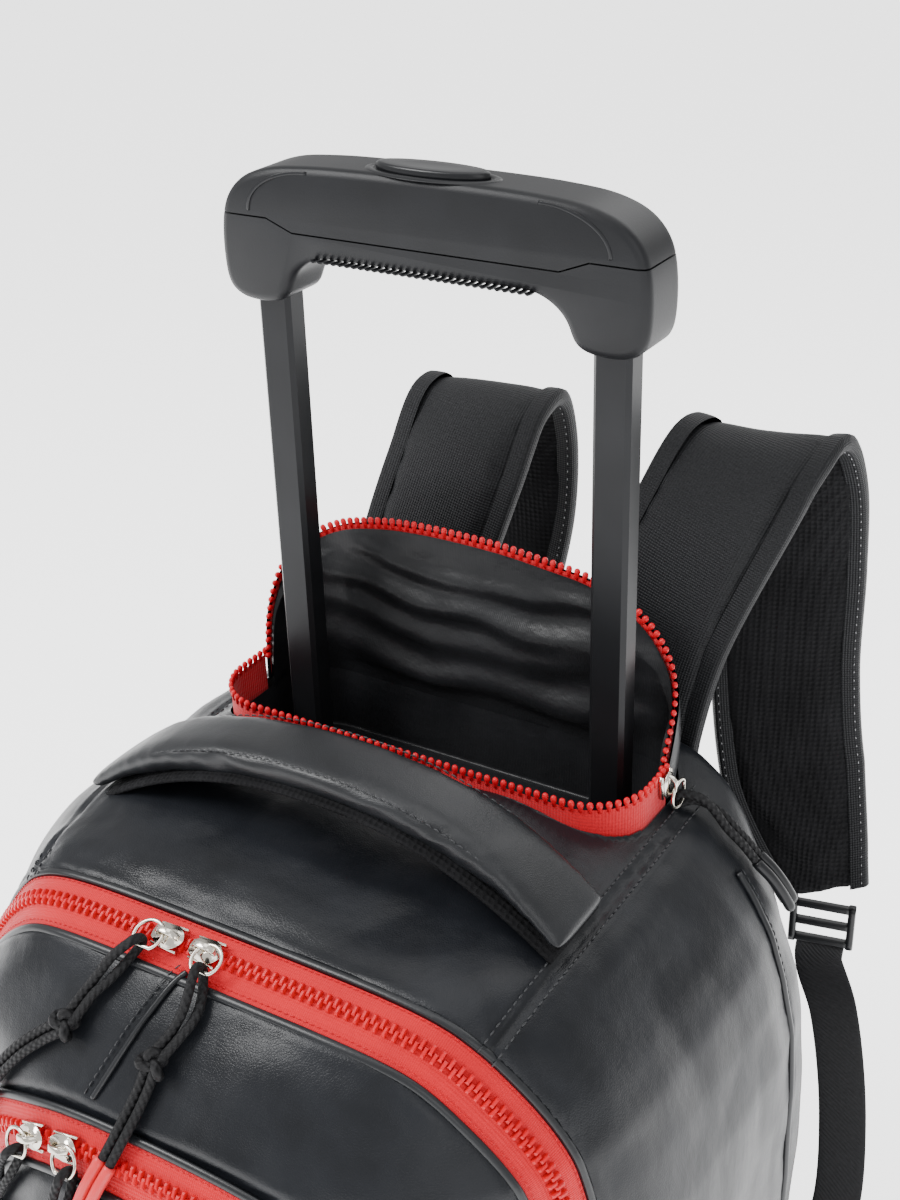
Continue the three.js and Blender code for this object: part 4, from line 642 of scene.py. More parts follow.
# zip pulls: a moulded slider, its ring, and one cord doubled through the ring
pullParts = {"cord": 4.0, "tip": 5.0, "ringWire": 1.6, "ringRadius": 6.5, "ringHeight": 6.2, "loopClear": 0.8,
             "strandGap": 0.2, "tipGap": 0.3, "untwistedBy": 24.0, "knotTall": 13.0, "knotWide": 8.2,
             "knotDeep": 2.6}
pulls = {
    "main_left": {"zip": "main", "x": -24.7, "aside": -6.8, "down": 3.4, "away": (-0.1, -0.75, 0.65), "knotAt": 4,
                  "tipsFrom": 8, "route": [
        (-35.4, -188.3, 447.3), (-39.2, -193.6, 442.4), (-42.8, -198.6, 436.8), (-47.6, -204, 430),
        (-54.6, -213.5, 417.8), (-64.8, -216.2, 409.6), (-75.4, -219.7, 400.4), (-87.8, -222.8, 385.8),
        (-95.4, -224.2, 373.9), (-101.8, -224.5, 361.4), (-105.8, -225.3, 348.3), (-109, -225.2, 337)]},
    "main_right": {"zip": "main", "x": -5.6, "aside": 4.2, "down": 4.2, "away": (0, -0.75, 0.66), "knotAt": 4,
                   "tipsFrom": 8, "route": [
        (-1.5, -190.3, 446.6), (0.6, -196.2, 440.8), (0.5, -200.8, 435.4), (-2.2, -206.3, 428.9),
        (-7.6, -214.9, 419.3), (-9, -219.4, 411), (-10.9, -224.4, 403), (-13.2, -231.7, 393.8),
        (-17, -238, 382.7), (-20.6, -244, 373), (-24.6, -248.6, 360.5), (-27.4, -253.2, 345.5)]},
    "pocket_left": {"zip": "pocket", "x": -58.5, "aside": -6.4, "down": 3.4, "away": (-0.45, -0.88, 0.17),
                    "knotAt": 4, "tipsFrom": 6, "route": [
        (-67.7, -240, 364), (-71.9, -240.6, 356), (-77.1, -240.6, 345.7), (-84, -238.8, 334.2),
        (-92.5, -237.3, 322.9), (-96.9, -235.8, 306.4), (-99.9, -236.4, 290.4), (-101.7, -237.4, 276),
        (-102.7, -238.4, 263), (-102.9, -239, 252)]},
    "pocket_right": {"zip": "pocket", "x": -38.9, "aside": 4.2, "down": 4.2, "away": (-0.15, -0.94, 0.3), "knotAt": 4,
                     "tipsFrom": 6, "route": [
        (-33.9, -244.7, 371.2), (-35.2, -247.8, 362.2), (-37.6, -249.4, 353.5), (-41.6, -251.6, 341.6),
        (-46.8, -254.9, 325.2), (-51.1, -255.3, 306), (-53.6, -256.2, 292), (-55.6, -257, 279),
        (-57.6, -258, 265.5), (-59.8, -258, 254)]},
    "trolley": {"zip": None, "aside": -6.0, "down": 4.2, "away": (0.62, 0, 0.78), "knotAt": None, "tipsFrom": 6,
                "route": [
        (115.8, 3.8, 452.4), (120, 6.2, 452.2), (125, 9.2, 449), (130.3, 10.8, 444.2), (135.8, 12, 438),
        (141.3, 14.5, 431), (147, 17, 422.6), (153, 20, 414.8), (158.5, 22.6, 405.6), (162.8, 24.8, 396.2)]},
}


routeSteps = 20


def strandPlaces(pull, fromRow, toRow, spacing):
    line = smoothLine(pull["route"], routeSteps)
    run = runOf(line)
    first, last = run[fromRow * routeSteps], run[toRow * routeSteps]
    spots = np.linspace(first, last, max(6, int((last - first) / spacing)))
    centre = np.stack([np.interp(spots, run, line[:, k]) for k in range(3)], axis=1)
    ahead = unit(np.stack([np.interp(spots, run, directions(line)[:, k]) for k in range(3)], axis=1))
    level = unit(np.cross(ahead, np.array(pull["away"], float)))
    up = np.cross(level, ahead)
    turned = np.clip(1 - spots / pullParts["untwistedBy"], 0, 1)[:, None]
    aside = level * np.cos(turned * math.pi / 2) + up * np.sin(turned * math.pi / 2)
    loop = (pullParts["ringWire"] + pullParts["cord"]) / 2 + pullParts["loopClear"]
    half = (pullParts["cord"] / 2 + pullParts["strandGap"]) * (1 - turned) + loop * turned
    if fromRow:
        half = np.full_like(half, pullParts["tip"] / 2 + pullParts["tipGap"])
    return centre, ahead, up, aside, half, loop


def tipTube(name, line, pull, **rest):
    across, outs = carried(line, pull["away"])
    run = runOf(line)
    left = run[-1] - run
    swellBy = np.clip(np.sqrt(np.clip(left, 0.05, 2.2) / 2.2), 0.15, 1) * (0.93 + 0.07 * np.clip(run / 1.5, 0, 1))
    section = roundSection(pullParts["tip"] / 2, 16)[None] * swellBy[:, None, None]
    finish, slot = (tipRed, "zip_red") if pull["knotAt"] else (smoothPlastic, "cord")
    return addSweep(name, line, across, outs, section, finish, slot=slot, **rest)


# an overhand knot: a cord wound over itself, thick in the middle
def knotLine(count=150):
    t = np.linspace(0, 2 * math.pi, count)
    x = np.sin(t) + 1.6 * np.sin(2 * t)
    y = np.cos(t) - 1.6 * np.cos(2 * t)
    z = -np.sin(3 * t) * 0.9
    return np.stack([x / 2.6, y / 2.6, z], axis=1)


def makeCord(name, pull):
    centre, ahead, up, aside, half, loop = strandPlaces(pull, 0, pull["tipsFrom"], 1.6)
    turn = [centre[0] + up[0] * loop * math.cos(s * math.pi) - ahead[0] * loop * math.sin(s * math.pi)
            for s in np.linspace(0, 1, 11)[1:-1]]
    path = np.vstack([(centre + aside * half)[::-1], turn, centre - aside * half])
    across, outs = carried(path, pull["away"])
    tips = []
    tipCentre, _, _, tipAside, tipHalf, _ = strandPlaces(pull, pull["tipsFrom"], len(pull["route"]) - 1, 1.5)
    for side, number in ((1, 1), (-1, 2)):
        line = tipCentre + tipAside * tipHalf * side
        tips.append(tipTube(f"tip_{name}_{number}", line, pull, replaces=f"cord_tip_{name}_{number}"))
    cord = addSweep(f"cord_{name}", path, across, outs, roundSection(pullParts["cord"] / 2, 14), braid,
                    replaces=f"pull_cord_{name}", slot="cord")
    pieces = list(tips)
    if pull["knotAt"]:
        spot = np.array(pull["route"][pull["knotAt"]], float)
        near = np.argmin(np.linalg.norm(centre - spot, axis=1))
        level = np.cross(ahead[near], up[near])
        wound = knotLine()
        wide, high = pullParts["knotWide"] - 2.0, pullParts["knotTall"] / 2 - 2.0
        deep = pullParts["knotDeep"]
        line = (spot + wound[:, 0:1] * level * wide + wound[:, 1:2] * ahead[near] * high
                + wound[:, 2:3] * up[near] * deep)
        acrossKnot, outKnot = carried(line, up[near])
        pieces.append(addSweep(f"knot_{name}", line, acrossKnot, outKnot, roundSection(2.1, 12), braid, caps=False,
                               replaces=f"cord_knot_{name}", slot="cord"))
    return runOf(path)[-1]


def plateMesh(outline, low, high, bevel=0.35):
    shape = bmesh.new()
    corners = [shape.verts.new((x, y, low)) for x, y in outline]
    face = shape.faces.new(corners)
    grown = bmesh.ops.extrude_face_region(shape, geom=[face])
    bmesh.ops.translate(shape, verts=[v for v in grown["geom"] if isinstance(v, bmesh.types.BMVert)],
                        vec=(0, 0, high - low))
    bmesh.ops.recalc_face_normals(shape, faces=shape.faces)
    bmesh.ops.bevel(shape, geom=[e for e in shape.edges if abs(e.verts[0].co.z - e.verts[1].co.z) < 1e-6],
                    offset=bevel, segments=2, affect="EDGES")
    shape.verts.index_update()
    points = np.array([v.co for v in shape.verts])
    faces = [[v.index for v in f.verts] for f in shape.faces]
    shape.free()
    return points, faces


def joined(parts):
    points, faces = [], []
    for p, f in parts:
        start = sum(len(q) for q in points)
        points.append(np.asarray(p, float))
        faces += [[i + start for i in face] for face in f]
    return np.vstack(points), faces


smallSlider = (0.9, 0.85, 0.8)


def sliderShape():
    turn = np.linspace(-1, 1, 22)
    nose = [(7.5 - 6.0 * (abs(t) ** 1.5), 5.2 * math.sin(t * math.pi / 2)) for t in turn]
    tail = [(-4.5, 4.3), (-7.2, 2.5), (-7.6, 0), (-7.2, -2.5), (-4.5, -4.3)]
    top = plateMesh([*nose, *tail], 2.9, 4.4, 0.5)
    walls = []
    for side in (1, -1):
        walls.append(plateMesh([(x, y) for x, y in ((-6.4, side * 4.2), (6.4, side * 4.9), (6.4, side * 5.6),
                                                    (-6.4, side * 5.0))][::side], 0.4, 3.4, 0.2))
    arch = []
    for t in np.linspace(-1, 1, 15):
        arch.append((5.2 * math.copysign(abs(t) ** 0.75, t), 0.0, 4.0 + 4.4 * (1 - abs(t) ** 2.6)))
    arch = np.array(arch)
    across, outs = carried(arch, (0, 1, 0))
    section = padSection(2.8, 1.5, 14, 3)
    rings = arch[:, None] + section[None, :, 0:1] * outs[:, None] + section[None, :, 1:2] * across[:, None]
    band = (rings.reshape(-1, 3), gridFaces(len(arch), 14, True).tolist())
    return joined([top, *walls, band])


def ringShape(pull):
    turn = np.linspace(0, 2 * math.pi, 49)[:-1]
    radius = pullParts["ringRadius"]
    x = np.cos(turn) * radius
    y = np.maximum(np.sin(turn), -0.78) * radius
    line = np.stack([x + pull["aside"], y - pull["down"], np.full(len(turn), pullParts["ringHeight"])], axis=1)
    ahead = unit(np.roll(line, -1, axis=0) - np.roll(line, 1, axis=0))
    out = np.tile((0, 0, 1.0), (len(line), 1))
    across = np.cross(out, ahead)
    section = roundSection(pullParts["ringWire"] / 2, 10)
    rings = line[:, None] + section[None, :, 0:1] * across[:, None] + section[None, :, 1:2] * out[:, None]
    count = len(section)
    points = rings.reshape(-1, 3)
    faces = [[r * count + c, r * count + (c + 1) % count, ((r + 1) % len(line)) * count + (c + 1) % count,
              ((r + 1) % len(line)) * count + c] for r in range(len(line)) for c in range(count)]
    return points, faces


trolleySeat = {"at": (109.2, -4.5, 463.0), "out": (1, 0, 0), "along": (0, 0, 1)}


def makePull(name, pull):
    if pull["zip"]:
        line, outs = zipMiddle(pull["zip"])
        near = np.argmin(np.abs(line[:, 0] - pull["x"]) + (line[:, 1] > 0) * 999)
        at, out = line[near] + outs[near] * 0.6, outs[near]
        along = directions(line)[near]
        along = along * (1 if along[0] > 0 else -1)
    else:
        at, out, along = (np.array(trolleySeat[k], float) for k in ("at", "out", "along"))
    up = np.cross(out, along)
    for shape, label, node in ((sliderShape(), "slider", f"slider_{name}"),
                               (ringShape(pull), "ring", f"pull_ring_{name}")):
        points, faces = shape
        if label == "slider" and not pull["zip"]:
            points = points * smallSlider
        placed = at + points[:, 0:1] * along + points[:, 1:2] * up + points[:, 2:3] * out
        addPiece(f"{label}_{name}_metal", placed, faces, nickel, replaces=node, slot="steel")
    return makeCord(name, pull)


for pullName, pull in pulls.items():
    print("pull", pullName, "cord", round(makePull(pullName, pull), 1), "mm")


def splitOff(points, faces):
    used = np.unique(faces)
    order = np.full(len(points), -1)
    order[used] = np.arange(len(used))
    return points[used], order[faces].tolist()


skinPoints, skinFaces, isPocket, skinCrown = makeSkins()
mainPoints, mainFaces = splitOff(skinPoints, skinFaces[~isPocket])
pocketPoints, pocketFaces = splitOff(skinPoints, skinFaces[isPocket])
bagSkin = addPiece("bag_skin", mainPoints, mainFaces, leather, replaces="bag_shell", slot="leather", fixNormals=True)
pocketSkin = addPiece("pocket_skin", pocketPoints, pocketFaces, leather, replaces="front_pocket", slot="leather")
print("bag skins made", len(skinFaces))

# main and pocket zips: a woven tape with a closed moulded chain
zipParts = {"halfTape": 11.9, "toothAlong": 1.75, "toothReach": 3.4, "toothTall": 2.3, "tapeLift": -0.2,
            "edgeAt": 13.1, "threadAt": 9.6}


def toothShape(along, inner, outer, tallness):
    shape = []
    for low, share in ((0.0, 1.0), (0.72, 0.98), (1.0, 0.62)):
        a, b = inner * share + (1 - share) * (inner + outer) / 2, outer * share + (1 - share) * (inner + outer) / 2
        h = along / 2 * share
        shape += [(-h, a, low * tallness), (h, a, low * tallness), (h * 0.8, b, low * tallness),
                  (-h * 0.8, b, low * tallness)]
    faces = gridFaces(3, 4, True).tolist() + [[3, 2, 1, 0], [8, 9, 10, 11]]
    return shape, faces


def makeZip(name, zipName, node):
    line, out = zipMiddle(zipName)
    along = directions(line)
    across = unit(np.cross(out, along))
    strips, outs = [], []
    for v in np.linspace(-1, 1, 15):
        spots, ways = onBag(line + across * v * zipParts["halfTape"], rounds=4)
        groove = 0.5 * math.exp(-((abs(v) - 0.80) / 0.05) ** 2) if abs(v) < 0.95 else 0
        strips.append(spots + ways * (zipParts["tapeLift"] + 0.35 * math.exp(-((abs(v) - 0.5) / 0.08) ** 2) - groove))
        outs.append(ways)
    rings = np.stack(strips, axis=1)
    tape = addGrid(name + "_tape", rings, tapeRed, wrap=False, replaces=node, slot="zip_red", fixNormals=False)
    seat = line + out * (zipParts["tapeLift"] + 0.1)
    for side, first in ((1, 0), (-1, 1)):
        picks = np.arange(first, len(line), 2)
        shape, faces = toothShape(zipParts["toothAlong"], -0.9, zipParts["toothReach"], zipParts["toothTall"])
        addCopies(f"{name}_teeth_{first + 1}", shape, faces, seat[picks], along[picks], across[picks] * side,
                  out[picks], toothRed, slot="zip_red", smooth=False)
    return {"line": line, "out": out, "along": along, "across": across, "tape": tape}


zips = {"main": makeZip("main_zip", "main", "main_zip"), "pocket": makeZip("pocket_zip", "pocket", "pocket_zip")}
foldedEdge = np.array([(-1.6, -0.6), (-1.3, 0.6), (0, 1.0), (1.6, 0.9), (2.6, -0.4)])
for zipName, z in zips.items():  # folded leather edges and their thread beside each tape
    for side in (1, -1):
        spots, ways = onBag(z["line"] + z["across"] * side * zipParts["edgeAt"], rounds=4)
        addSweep(f"{zipName}_edge_{'back' if side > 0 else 'front'}", spots + ways * 0.2,
                 unit(np.cross(ways, z["along"])), ways, foldedEdge, edgeLeather, slot="leather")
        spots, ways = onBag(z["line"] + z["across"] * side * zipParts["threadAt"], rounds=4)
        addStitches(f"{zipName}_thread_{'back' if side > 0 else 'front'}", spots + ways * 0.1, ways, toothRed,
                    length=2.2, pitch=3.0, thick=0.5, slot="zip_red")
print("zips made")

for side, label in ((1, "right"), (-1, "left")):
    line, out = seamTop[side]
    ahead = directions(line)
    aside = unit(np.cross(out, ahead))
    for k, offset in enumerate((-3.6, 3.6)):
        spots, ways = onBag(line + aside * offset)
        addStitches(f"top_seam_{label}_{k + 1}", spots + ways * 1.6, ways, thread, thick=0.8, slot="leather")
    addStitches(f"side_seam_{label}", *(lambda s: (s[0] + s[1] * 1.0, s[1]))(onBag(sideSeam[side][0] + (0, 3.4, 0))),
                thread, thick=0.7, slot="leather")
    line, out = sideSeam[side]
    ahead = directions(line)
    addSweep(f"side_piping_{label}", line + out * 0.6, unit(np.cross(out, ahead)), out, roundSection(1.7, 10),
             edgeLeather, slot="leather")
line, out = centreSeam
ahead = directions(line)
addSweep("centre_piping", line + out * 0.9, unit(np.cross(out, ahead)), out, roundSection(1.3, 10), edgeLeather,
         slot="leather")
addStitches("centre_seam", onBag(line - unit(np.cross(out, ahead)) * 4.2)[0] + out * 1.3, out, thread, thick=0.7,
            slot="leather")
print("seams made")

# trolley pouch: the flap's edge, its lining with drooping folds, and two toothed tapes
pouch = {"floor": 416.5, "folds": [(0.30, 6.5, 9), (0.52, 5.5, 8), (0.72, 6.0, 7), (0.90, 3.0, 5)],
         "frontTop": 468.0, "tapeTall": 11.0}
flapEdge = smoothLine([(-107.2, 1, 466), (-107.3, 4, 486), (-104.5, 12, 504), (-97, 22, 519), (-81, 30, 530),
                       (-60, 32.5, 535.5), (-38, 33.2, 538), (5, 33.5, 538), (32, 33.5, 535.5), (56, 33, 532),
                       (76, 31, 523), (90, 26, 510), (100, 18, 496), (105.6, 9, 482), (107.2, 1, 466)], 12)


def rimPoint(x, y, inset):
    spot = np.array((x, y + wellRim["ahead"]))
    core = np.clip(spot, -wellCore, wellCore)
    way = spot - core
    size = np.linalg.norm(way)
    if size < 1e-6:
        return np.array((x, y))
    return core + way / size * (wellRim["corner"] - inset) - (0, wellRim["ahead"])


def wallStrip(edge, foot, inset, count, push):
    rows = []
    for share in np.linspace(0, 1, count):
        row = []
        for x, y, z in edge:
            rim = rimPoint(x, y, inset)
            row.append((rim[0], rim[1], foot + (z - foot) * share))
        row = np.array(row)
        inward = unit(np.stack([-row[:, 0] * 0.35, -(row[:, 1] + 30), 0 * row[:, 0]], axis=1))
        rows.append(row + inward * push(row, share)[:, None])
    return np.array(rows)


edge = atSteps(flapEdge, spacing=1.8)
flapBody = wallStrip(edge, 452, 0.6, 26, lambda row, share: -1.2 * math.sin(share * math.pi)
                     + 0.8 * cloud(row, 40, 21))
addGrid("flap_leather", flapBody, leather, wrap=False, replaces="trolley_flap", slot="leather", fixNormals=False)


def liningPush(row, share):
    across = np.clip(row[:, 0] / 106, -1, 1)
    total = 1.6 + 0.9 * cloud(row, 34, 31)
    for high, deep, wide in pouch["folds"]:
        middle = 452 + 84 * high - 11 * (1 - across ** 2) + 3 * cloud(row * (1, 1, 0), 60, int(high * 100))
        total = total + deep * np.exp(-((row[:, 2] - middle) / wide) ** 2) * (1 - 0.75 * np.abs(across) ** 3)
    return total * np.clip(share * 6, 0, 1) * np.clip((1 - share) * 9, 0.15, 1)


liningEdge = edge - (0, 0, 2.0)
lining = wallStrip(liningEdge, 446, 3.4, 78, liningPush)
addGrid("lining_folds", lining, liningNylon, wrap=False, replaces="pouch_lining", slot="nylon", fixNormals=False)

around = []
for turn in np.linspace(0, 2 * math.pi, 260, endpoint=False):
    rim = rimPoint(math.cos(turn) * 130, -6 + math.sin(turn) * 60, 4.0)
    around.append((rim[0], rim[1]))
around = atSteps(np.array([(x, y, 0) for x, y in [*around, around[0]]]), count=261)[:-1, :2]
wellRows = []
for z in np.linspace(450, pouch["floor"], 16):
    sag = 1.6 * math.sin((450 - z) / 33 * math.pi)
    wellRows.append([(x * (1 - sag / 110), (y + 6) * (1 - sag / 40) - 6, z) for x, y in around])
for share in (0.96, 0.9, 0.75, 0.5, 0.2):
    wellRows.append([(x * share, (y + 6) * share - 6, pouch["floor"] + 0.4) for x, y in around])
wellRows = np.array(wellRows)
addPiece("lining_well", wellRows.reshape(-1, 3), gridFaces(len(wellRows), 260, True).tolist()
         + [[(len(wellRows) - 1) * 260 + i for i in range(260)]], liningNylon, slot="nylon", fixNormals=False)


def openTeeth(name, line, finish, **rest):
    spots = atSteps(line, spacing=4.1)
    ahead = directions(spots)
    up = np.tile((0, 0, 1.0), (len(spots), 1))
    up = unit(up - ahead * (up * ahead).sum(axis=1, keepdims=True))
    side = np.cross(ahead, up)
    turn = np.linspace(0, 2 * math.pi, 9)[:-1]
    ball = []
    for high, wide in ((-2.2, 0.55), (-0.4, 0.72), (0.6, 1.0), (1.6, 1.05), (2.5, 0.85), (3.0, 0.45)):
        ball += [(math.cos(t) * 1.45 * wide, math.sin(t) * 1.25 * wide, high) for t in turn]
    faces = gridFaces(6, 8, True).tolist() + [list(range(8))[::-1], list(range(40, 48))]
    return addCopies(name, ball, faces, spots, ahead, side, up, finish, **rest)


def pouchZip(name, line, inset, node, lowBy):
    tape = []
    for share in np.linspace(0, 1, 9):
        row = []
        for x, y, z in atSteps(line, spacing=1.6):
            rim = rimPoint(x, y, inset)
            row.append((rim[0], rim[1], z - lowBy * (1 - share)))
        tape.append(row)
    addGrid(name + "_tape", np.array(tape), tapeRed, wrap=False, replaces=node, slot="zip_red", fixNormals=False)
    on = np.array([(*rimPoint(x, y, inset), z) for x, y, z in line])
    openTeeth(name + "_teeth", on + (0, 0, 0.6), toothRed, slot="zip_red")


pouchZip("flap_zip", flapEdge, 2.6, "trolley_zip_back", pouch["tapeTall"])
frontEdge = [(*rimPoint(math.cos(t) * 130, -6 + math.sin(t) * 60, 0.4), pouch["frontTop"] - 1.4)
             for t in np.linspace(0.10, -math.pi - 0.10, 200)]
frontEdge = atSteps(np.array(frontEdge), spacing=1.6)
frontTape = []
for share in np.linspace(0, 1, 9):
    row = frontEdge.copy()
    foot, _ = onBag(np.stack([row[:, 0] * 1.0, row[:, 1], np.full(len(row), 452.0)], axis=1))
    row[:, 2] = foot[:, 2] - 3 + (frontEdge[:, 2] - foot[:, 2] + 3) * share
    frontTape.append(row)
addGrid("front_zip_tape", np.array(frontTape), tapeRed, wrap=False, replaces="trolley_zip_front", slot="zip_red",
        fixNormals=False)
openTeeth("front_zip_teeth", frontEdge + (0, 0, 0.8), toothRed, slot="zip_red")
print("trolley pouch made")


# a padded strip along stations, its outer face in one finish and its inner face in another
def padRings(line, across, outs, widths, thick, count=40, edge=0.3):
    turn = np.arange(count) * 2 * math.pi / count
    c, s = np.cos(turn), np.sin(turn)
    u = np.sign(c) * np.abs(c) ** 0.45
    v = np.sign(s) * np.abs(s) ** 0.6 * (edge + (1 - edge) * (1 - np.abs(u) ** 3.2))
    widths, thick = np.broadcast_to(widths, len(line)), np.broadcast_to(thick, len(line))
    return (line[:, None] + across[:, None] * (u[None, :, None] * widths[:, None, None] / 2)
            + outs[:, None] * (v[None, :, None] * thick[:, None, None] / 2))


def dressPad(piece, line, across, outs, front, back):
    mesh = piece.data
    mesh.materials.clear()
    mesh.materials.append(front)
    mesh.materials.append(back)
    points = np.array([v.co for v in mesh.vertices]) * 1000 - drawingShift
    run = runOf(line)
    near = np.argmin(((points[:, None] - line[None]) ** 2).sum(axis=2), axis=1)
    offset = points - line[near]
    ahead = directions(line)[near]
    flat = np.stack([(offset * across[near]).sum(axis=1), run[near] + (offset * ahead).sum(axis=1)], axis=1) / 1000
    layer = mesh.uv_layers.get("lay") or mesh.uv_layers.new(name="lay")
    corners = np.array([corner.vertex_index for corner in mesh.loops])
    layer.data.foreach_set("uv", flat[corners].ravel())
    for face in mesh.polygons:
        at = near[face.vertices[0]]
        face.material_index = 0 if np.dot(np.array(face.normal), outs[at]) > 0 else 1
        face.use_smooth = True


def addPad(name, line, across, outs, widths, thick, front, back, node, cap=0.004, edge=0.3, slot="nylon"):
    rings = padRings(line, across, outs, widths, thick, edge=edge)
    pad = addGrid(name, rings, front, replaces=node, slot=slot)
    puff(pad, cap=cap)
    dressPad(pad, line, across, outs, front, back)
    return pad


def addBinding(name, line, across, outs, widths, side, deep=8.0, tall=8.6, finish=bindingTape):
    turn = np.linspace(-1, 1, 13)
    wrap = np.array([(-deep * (abs(t) - 0.35) / 0.65 if abs(t) > 0.35 else 1.6 * math.cos(t / 0.35 * math.pi / 2),
                      tall / 2 * math.copysign(min(1, abs(t) / 0.35), t)) for t in turn])
    wrap[np.abs(turn) > 0.9, 1] *= 0.93
    edge = line + across * side * (np.broadcast_to(widths, len(line))[:, None] / 2 - 0.6)
    rings = edge[:, None] + wrap[None, :, 0:1] * across[:, None] * side + wrap[None, :, 1:2] * outs[:, None]
    return addGrid(name, rings, finish, wrap=False, slot="nylon")


# carry handle
carry = {"span": 236, "width": 42, "thick": 13, "rise": 40, "seat": 448.1, "ahead": 100, "arch": 2.2, "pinch": 0.55,
         "liningThick": 1.5, "wander": 1.2}


def makeCarryHandle():
    share = np.linspace(-1, 1, 121)
    x = share * carry["span"] / 2
    arch = 1 - np.abs(share) ** carry["arch"]
    pinch = carry["pinch"] + (1 - carry["pinch"]) * np.minimum(1, 3 * (1 - np.abs(share)))
    fall = carry["arch"] * np.abs(share) ** (carry["arch"] - 1) * np.sign(share)
    outs = unit(np.stack([fall * carry["rise"] / (carry["span"] / 2), 0 * x, 1 + 0 * x], axis=1))
    half = carry["thick"] * pinch / 2
    wander = carry["wander"] * np.sin(share * 2.4)
    line = np.stack([x, -carry["ahead"] + wander, carry["seat"] + half + arch * carry["rise"]], axis=1)
    across = np.tile((0, 1.0, 0), (len(x), 1))
    addPad("carry_handle_pad", line, across, outs, carry["width"] - 2, 2 * half, padLeather, padLeather,
           "carry_handle", cap=0.003, edge=0.8, slot="leather")
    under = line - outs * (half[:, None] + 0.2)
    trim = padRings(under, across, outs, carry["width"] * 0.97, carry["liningThick"] + 3.0, edge=0.8)
    addGrid("carry_handle_trim", trim, airMesh, replaces="carry_handle_lining", slot="mesh")
    for side in (1, -1):
        seam = line + across * side * (carry["width"] / 2 - 5.0) + outs * (half[:, None] * 0.82)
        addStitches(f"carry_stitch_{'back' if side > 0 else 'front'}", seam[4:-4], outs[4:-4], thread, slot="leather")


makeCarryHandle()
print("carry handle made")


# back pad with pressed channels
backPad = {"low": 112.0, "high": 415.0, "behind": 48.3, "thick": 9.0, "halfWidth": 124, "narrowing": 0.06,
           "cornerIn": 28, "channels": (0.26, 0.5, 0.74), "channelWide": 0.012}


def makeBackPad():
    low, high, behind, thick = (backPad[k] for k in ("low", "high", "behind", "thick"))
    z = np.linspace(low + 1, high - 1, 90)
    share = (z - low) / (high - low)
    top = np.clip((share - 0.86) / 0.14, 0, 1)
    halfWide = (backPad["halfWidth"] * (1 - backPad["narrowing"] * share)
                - backPad["cornerIn"] * (1 - np.sqrt(np.clip(1 - top ** 2, 0, 1))))
    line = np.stack([0 * z, behind + thick / 2 + 0 * z, z], axis=1)
    across = np.tile((1.0, 0, 0), (len(z), 1))
    outs = np.tile((0, 1.0, 0), (len(z), 1))
    channel = sum(np.exp(-((share - at) / backPad["channelWide"]) ** 2) for at in backPad["channels"])
    rings = padRings(line, across, outs, 2 * halfWide - 3, (thick - 0.6) * (1 - 0.3 * channel), count=72, edge=0.35)
    pad = addGrid("back_pad_cushion", rings, airMesh, replaces="back_pad", slot="mesh")
    puff(pad, cap=0.003, voxel=0.006)
    dressPad(pad, line, across, outs, airMesh, airMesh)
    for side, label in ((1, "right"), (-1, "left")):
        addBinding(f"back_pad_edge_{label}", line, across, outs, 2 * halfWide - 3, side, deep=5, tall=4.6)


makeBackPad()
print("back pad made")

# shoulder straps: across, behind, high as shares of the bag, and lean in degrees
strap = {"width": 73, "thick": 11, "reach": 85, "steps": 150, "taperFrom": 0.84, "taper": 0.36}
straps = {
    "right": [(0.354, 0.0682, 0.921, 0), (0.365, 0.0802, 0.978, 0), (0.416, 0.153, 1.094, 2), (0.517, 0.33, 1.219, 4),
              (0.579, 0.506, 1.286, 6), (0.607, 0.706, 1.293, 8), (0.624, 0.87, 1.238, 12), (0.629, 0.976, 1.118, 18),
              (0.635, 1, 0.974, 24), (0.68, 0.988, 0.841, 22), (0.77, 0.941, 0.733, 16), (0.82, 0.894, 0.688, 12)],
    "left": [(-0.354, 0.0682, 0.921, 0), (-0.343, 0.0802, 0.978, 0), (-0.303, 0.153, 1.094, 2),
             (-0.236, 0.33, 1.219, 4), (-0.208, 0.506, 1.286, 6), (-0.202, 0.706, 1.293, 6),
             (-0.208, 0.87, 1.238, 4), (-0.236, 0.976, 1.118, 0), (-0.326, 1, 0.974, -6), (-0.528, 0.988, 0.841, -10),
             (-0.742, 0.941, 0.733, -12), (-0.82, 0.894, 0.688, -12)]}


def onPath(across, behind, high):
    return across * bag["halfWidth"], bag["back"] + behind * strap["reach"], bag["bottom"] + high * tall


def turnedAcross(line, leans):
    turned = np.radians(leans)
    level = np.stack([np.cos(turned), np.sin(turned), 0 * turned], axis=1)
    ahead = directions(line)
    across = unit(level - ahead * (level * ahead).sum(axis=1, keepdims=True))
    return across, np.cross(ahead, across)


strapPatch = {"from": 0.855, "to": 0.985, "halfWidth": 13.0, "seamAt": 11, "lift": 1.1}


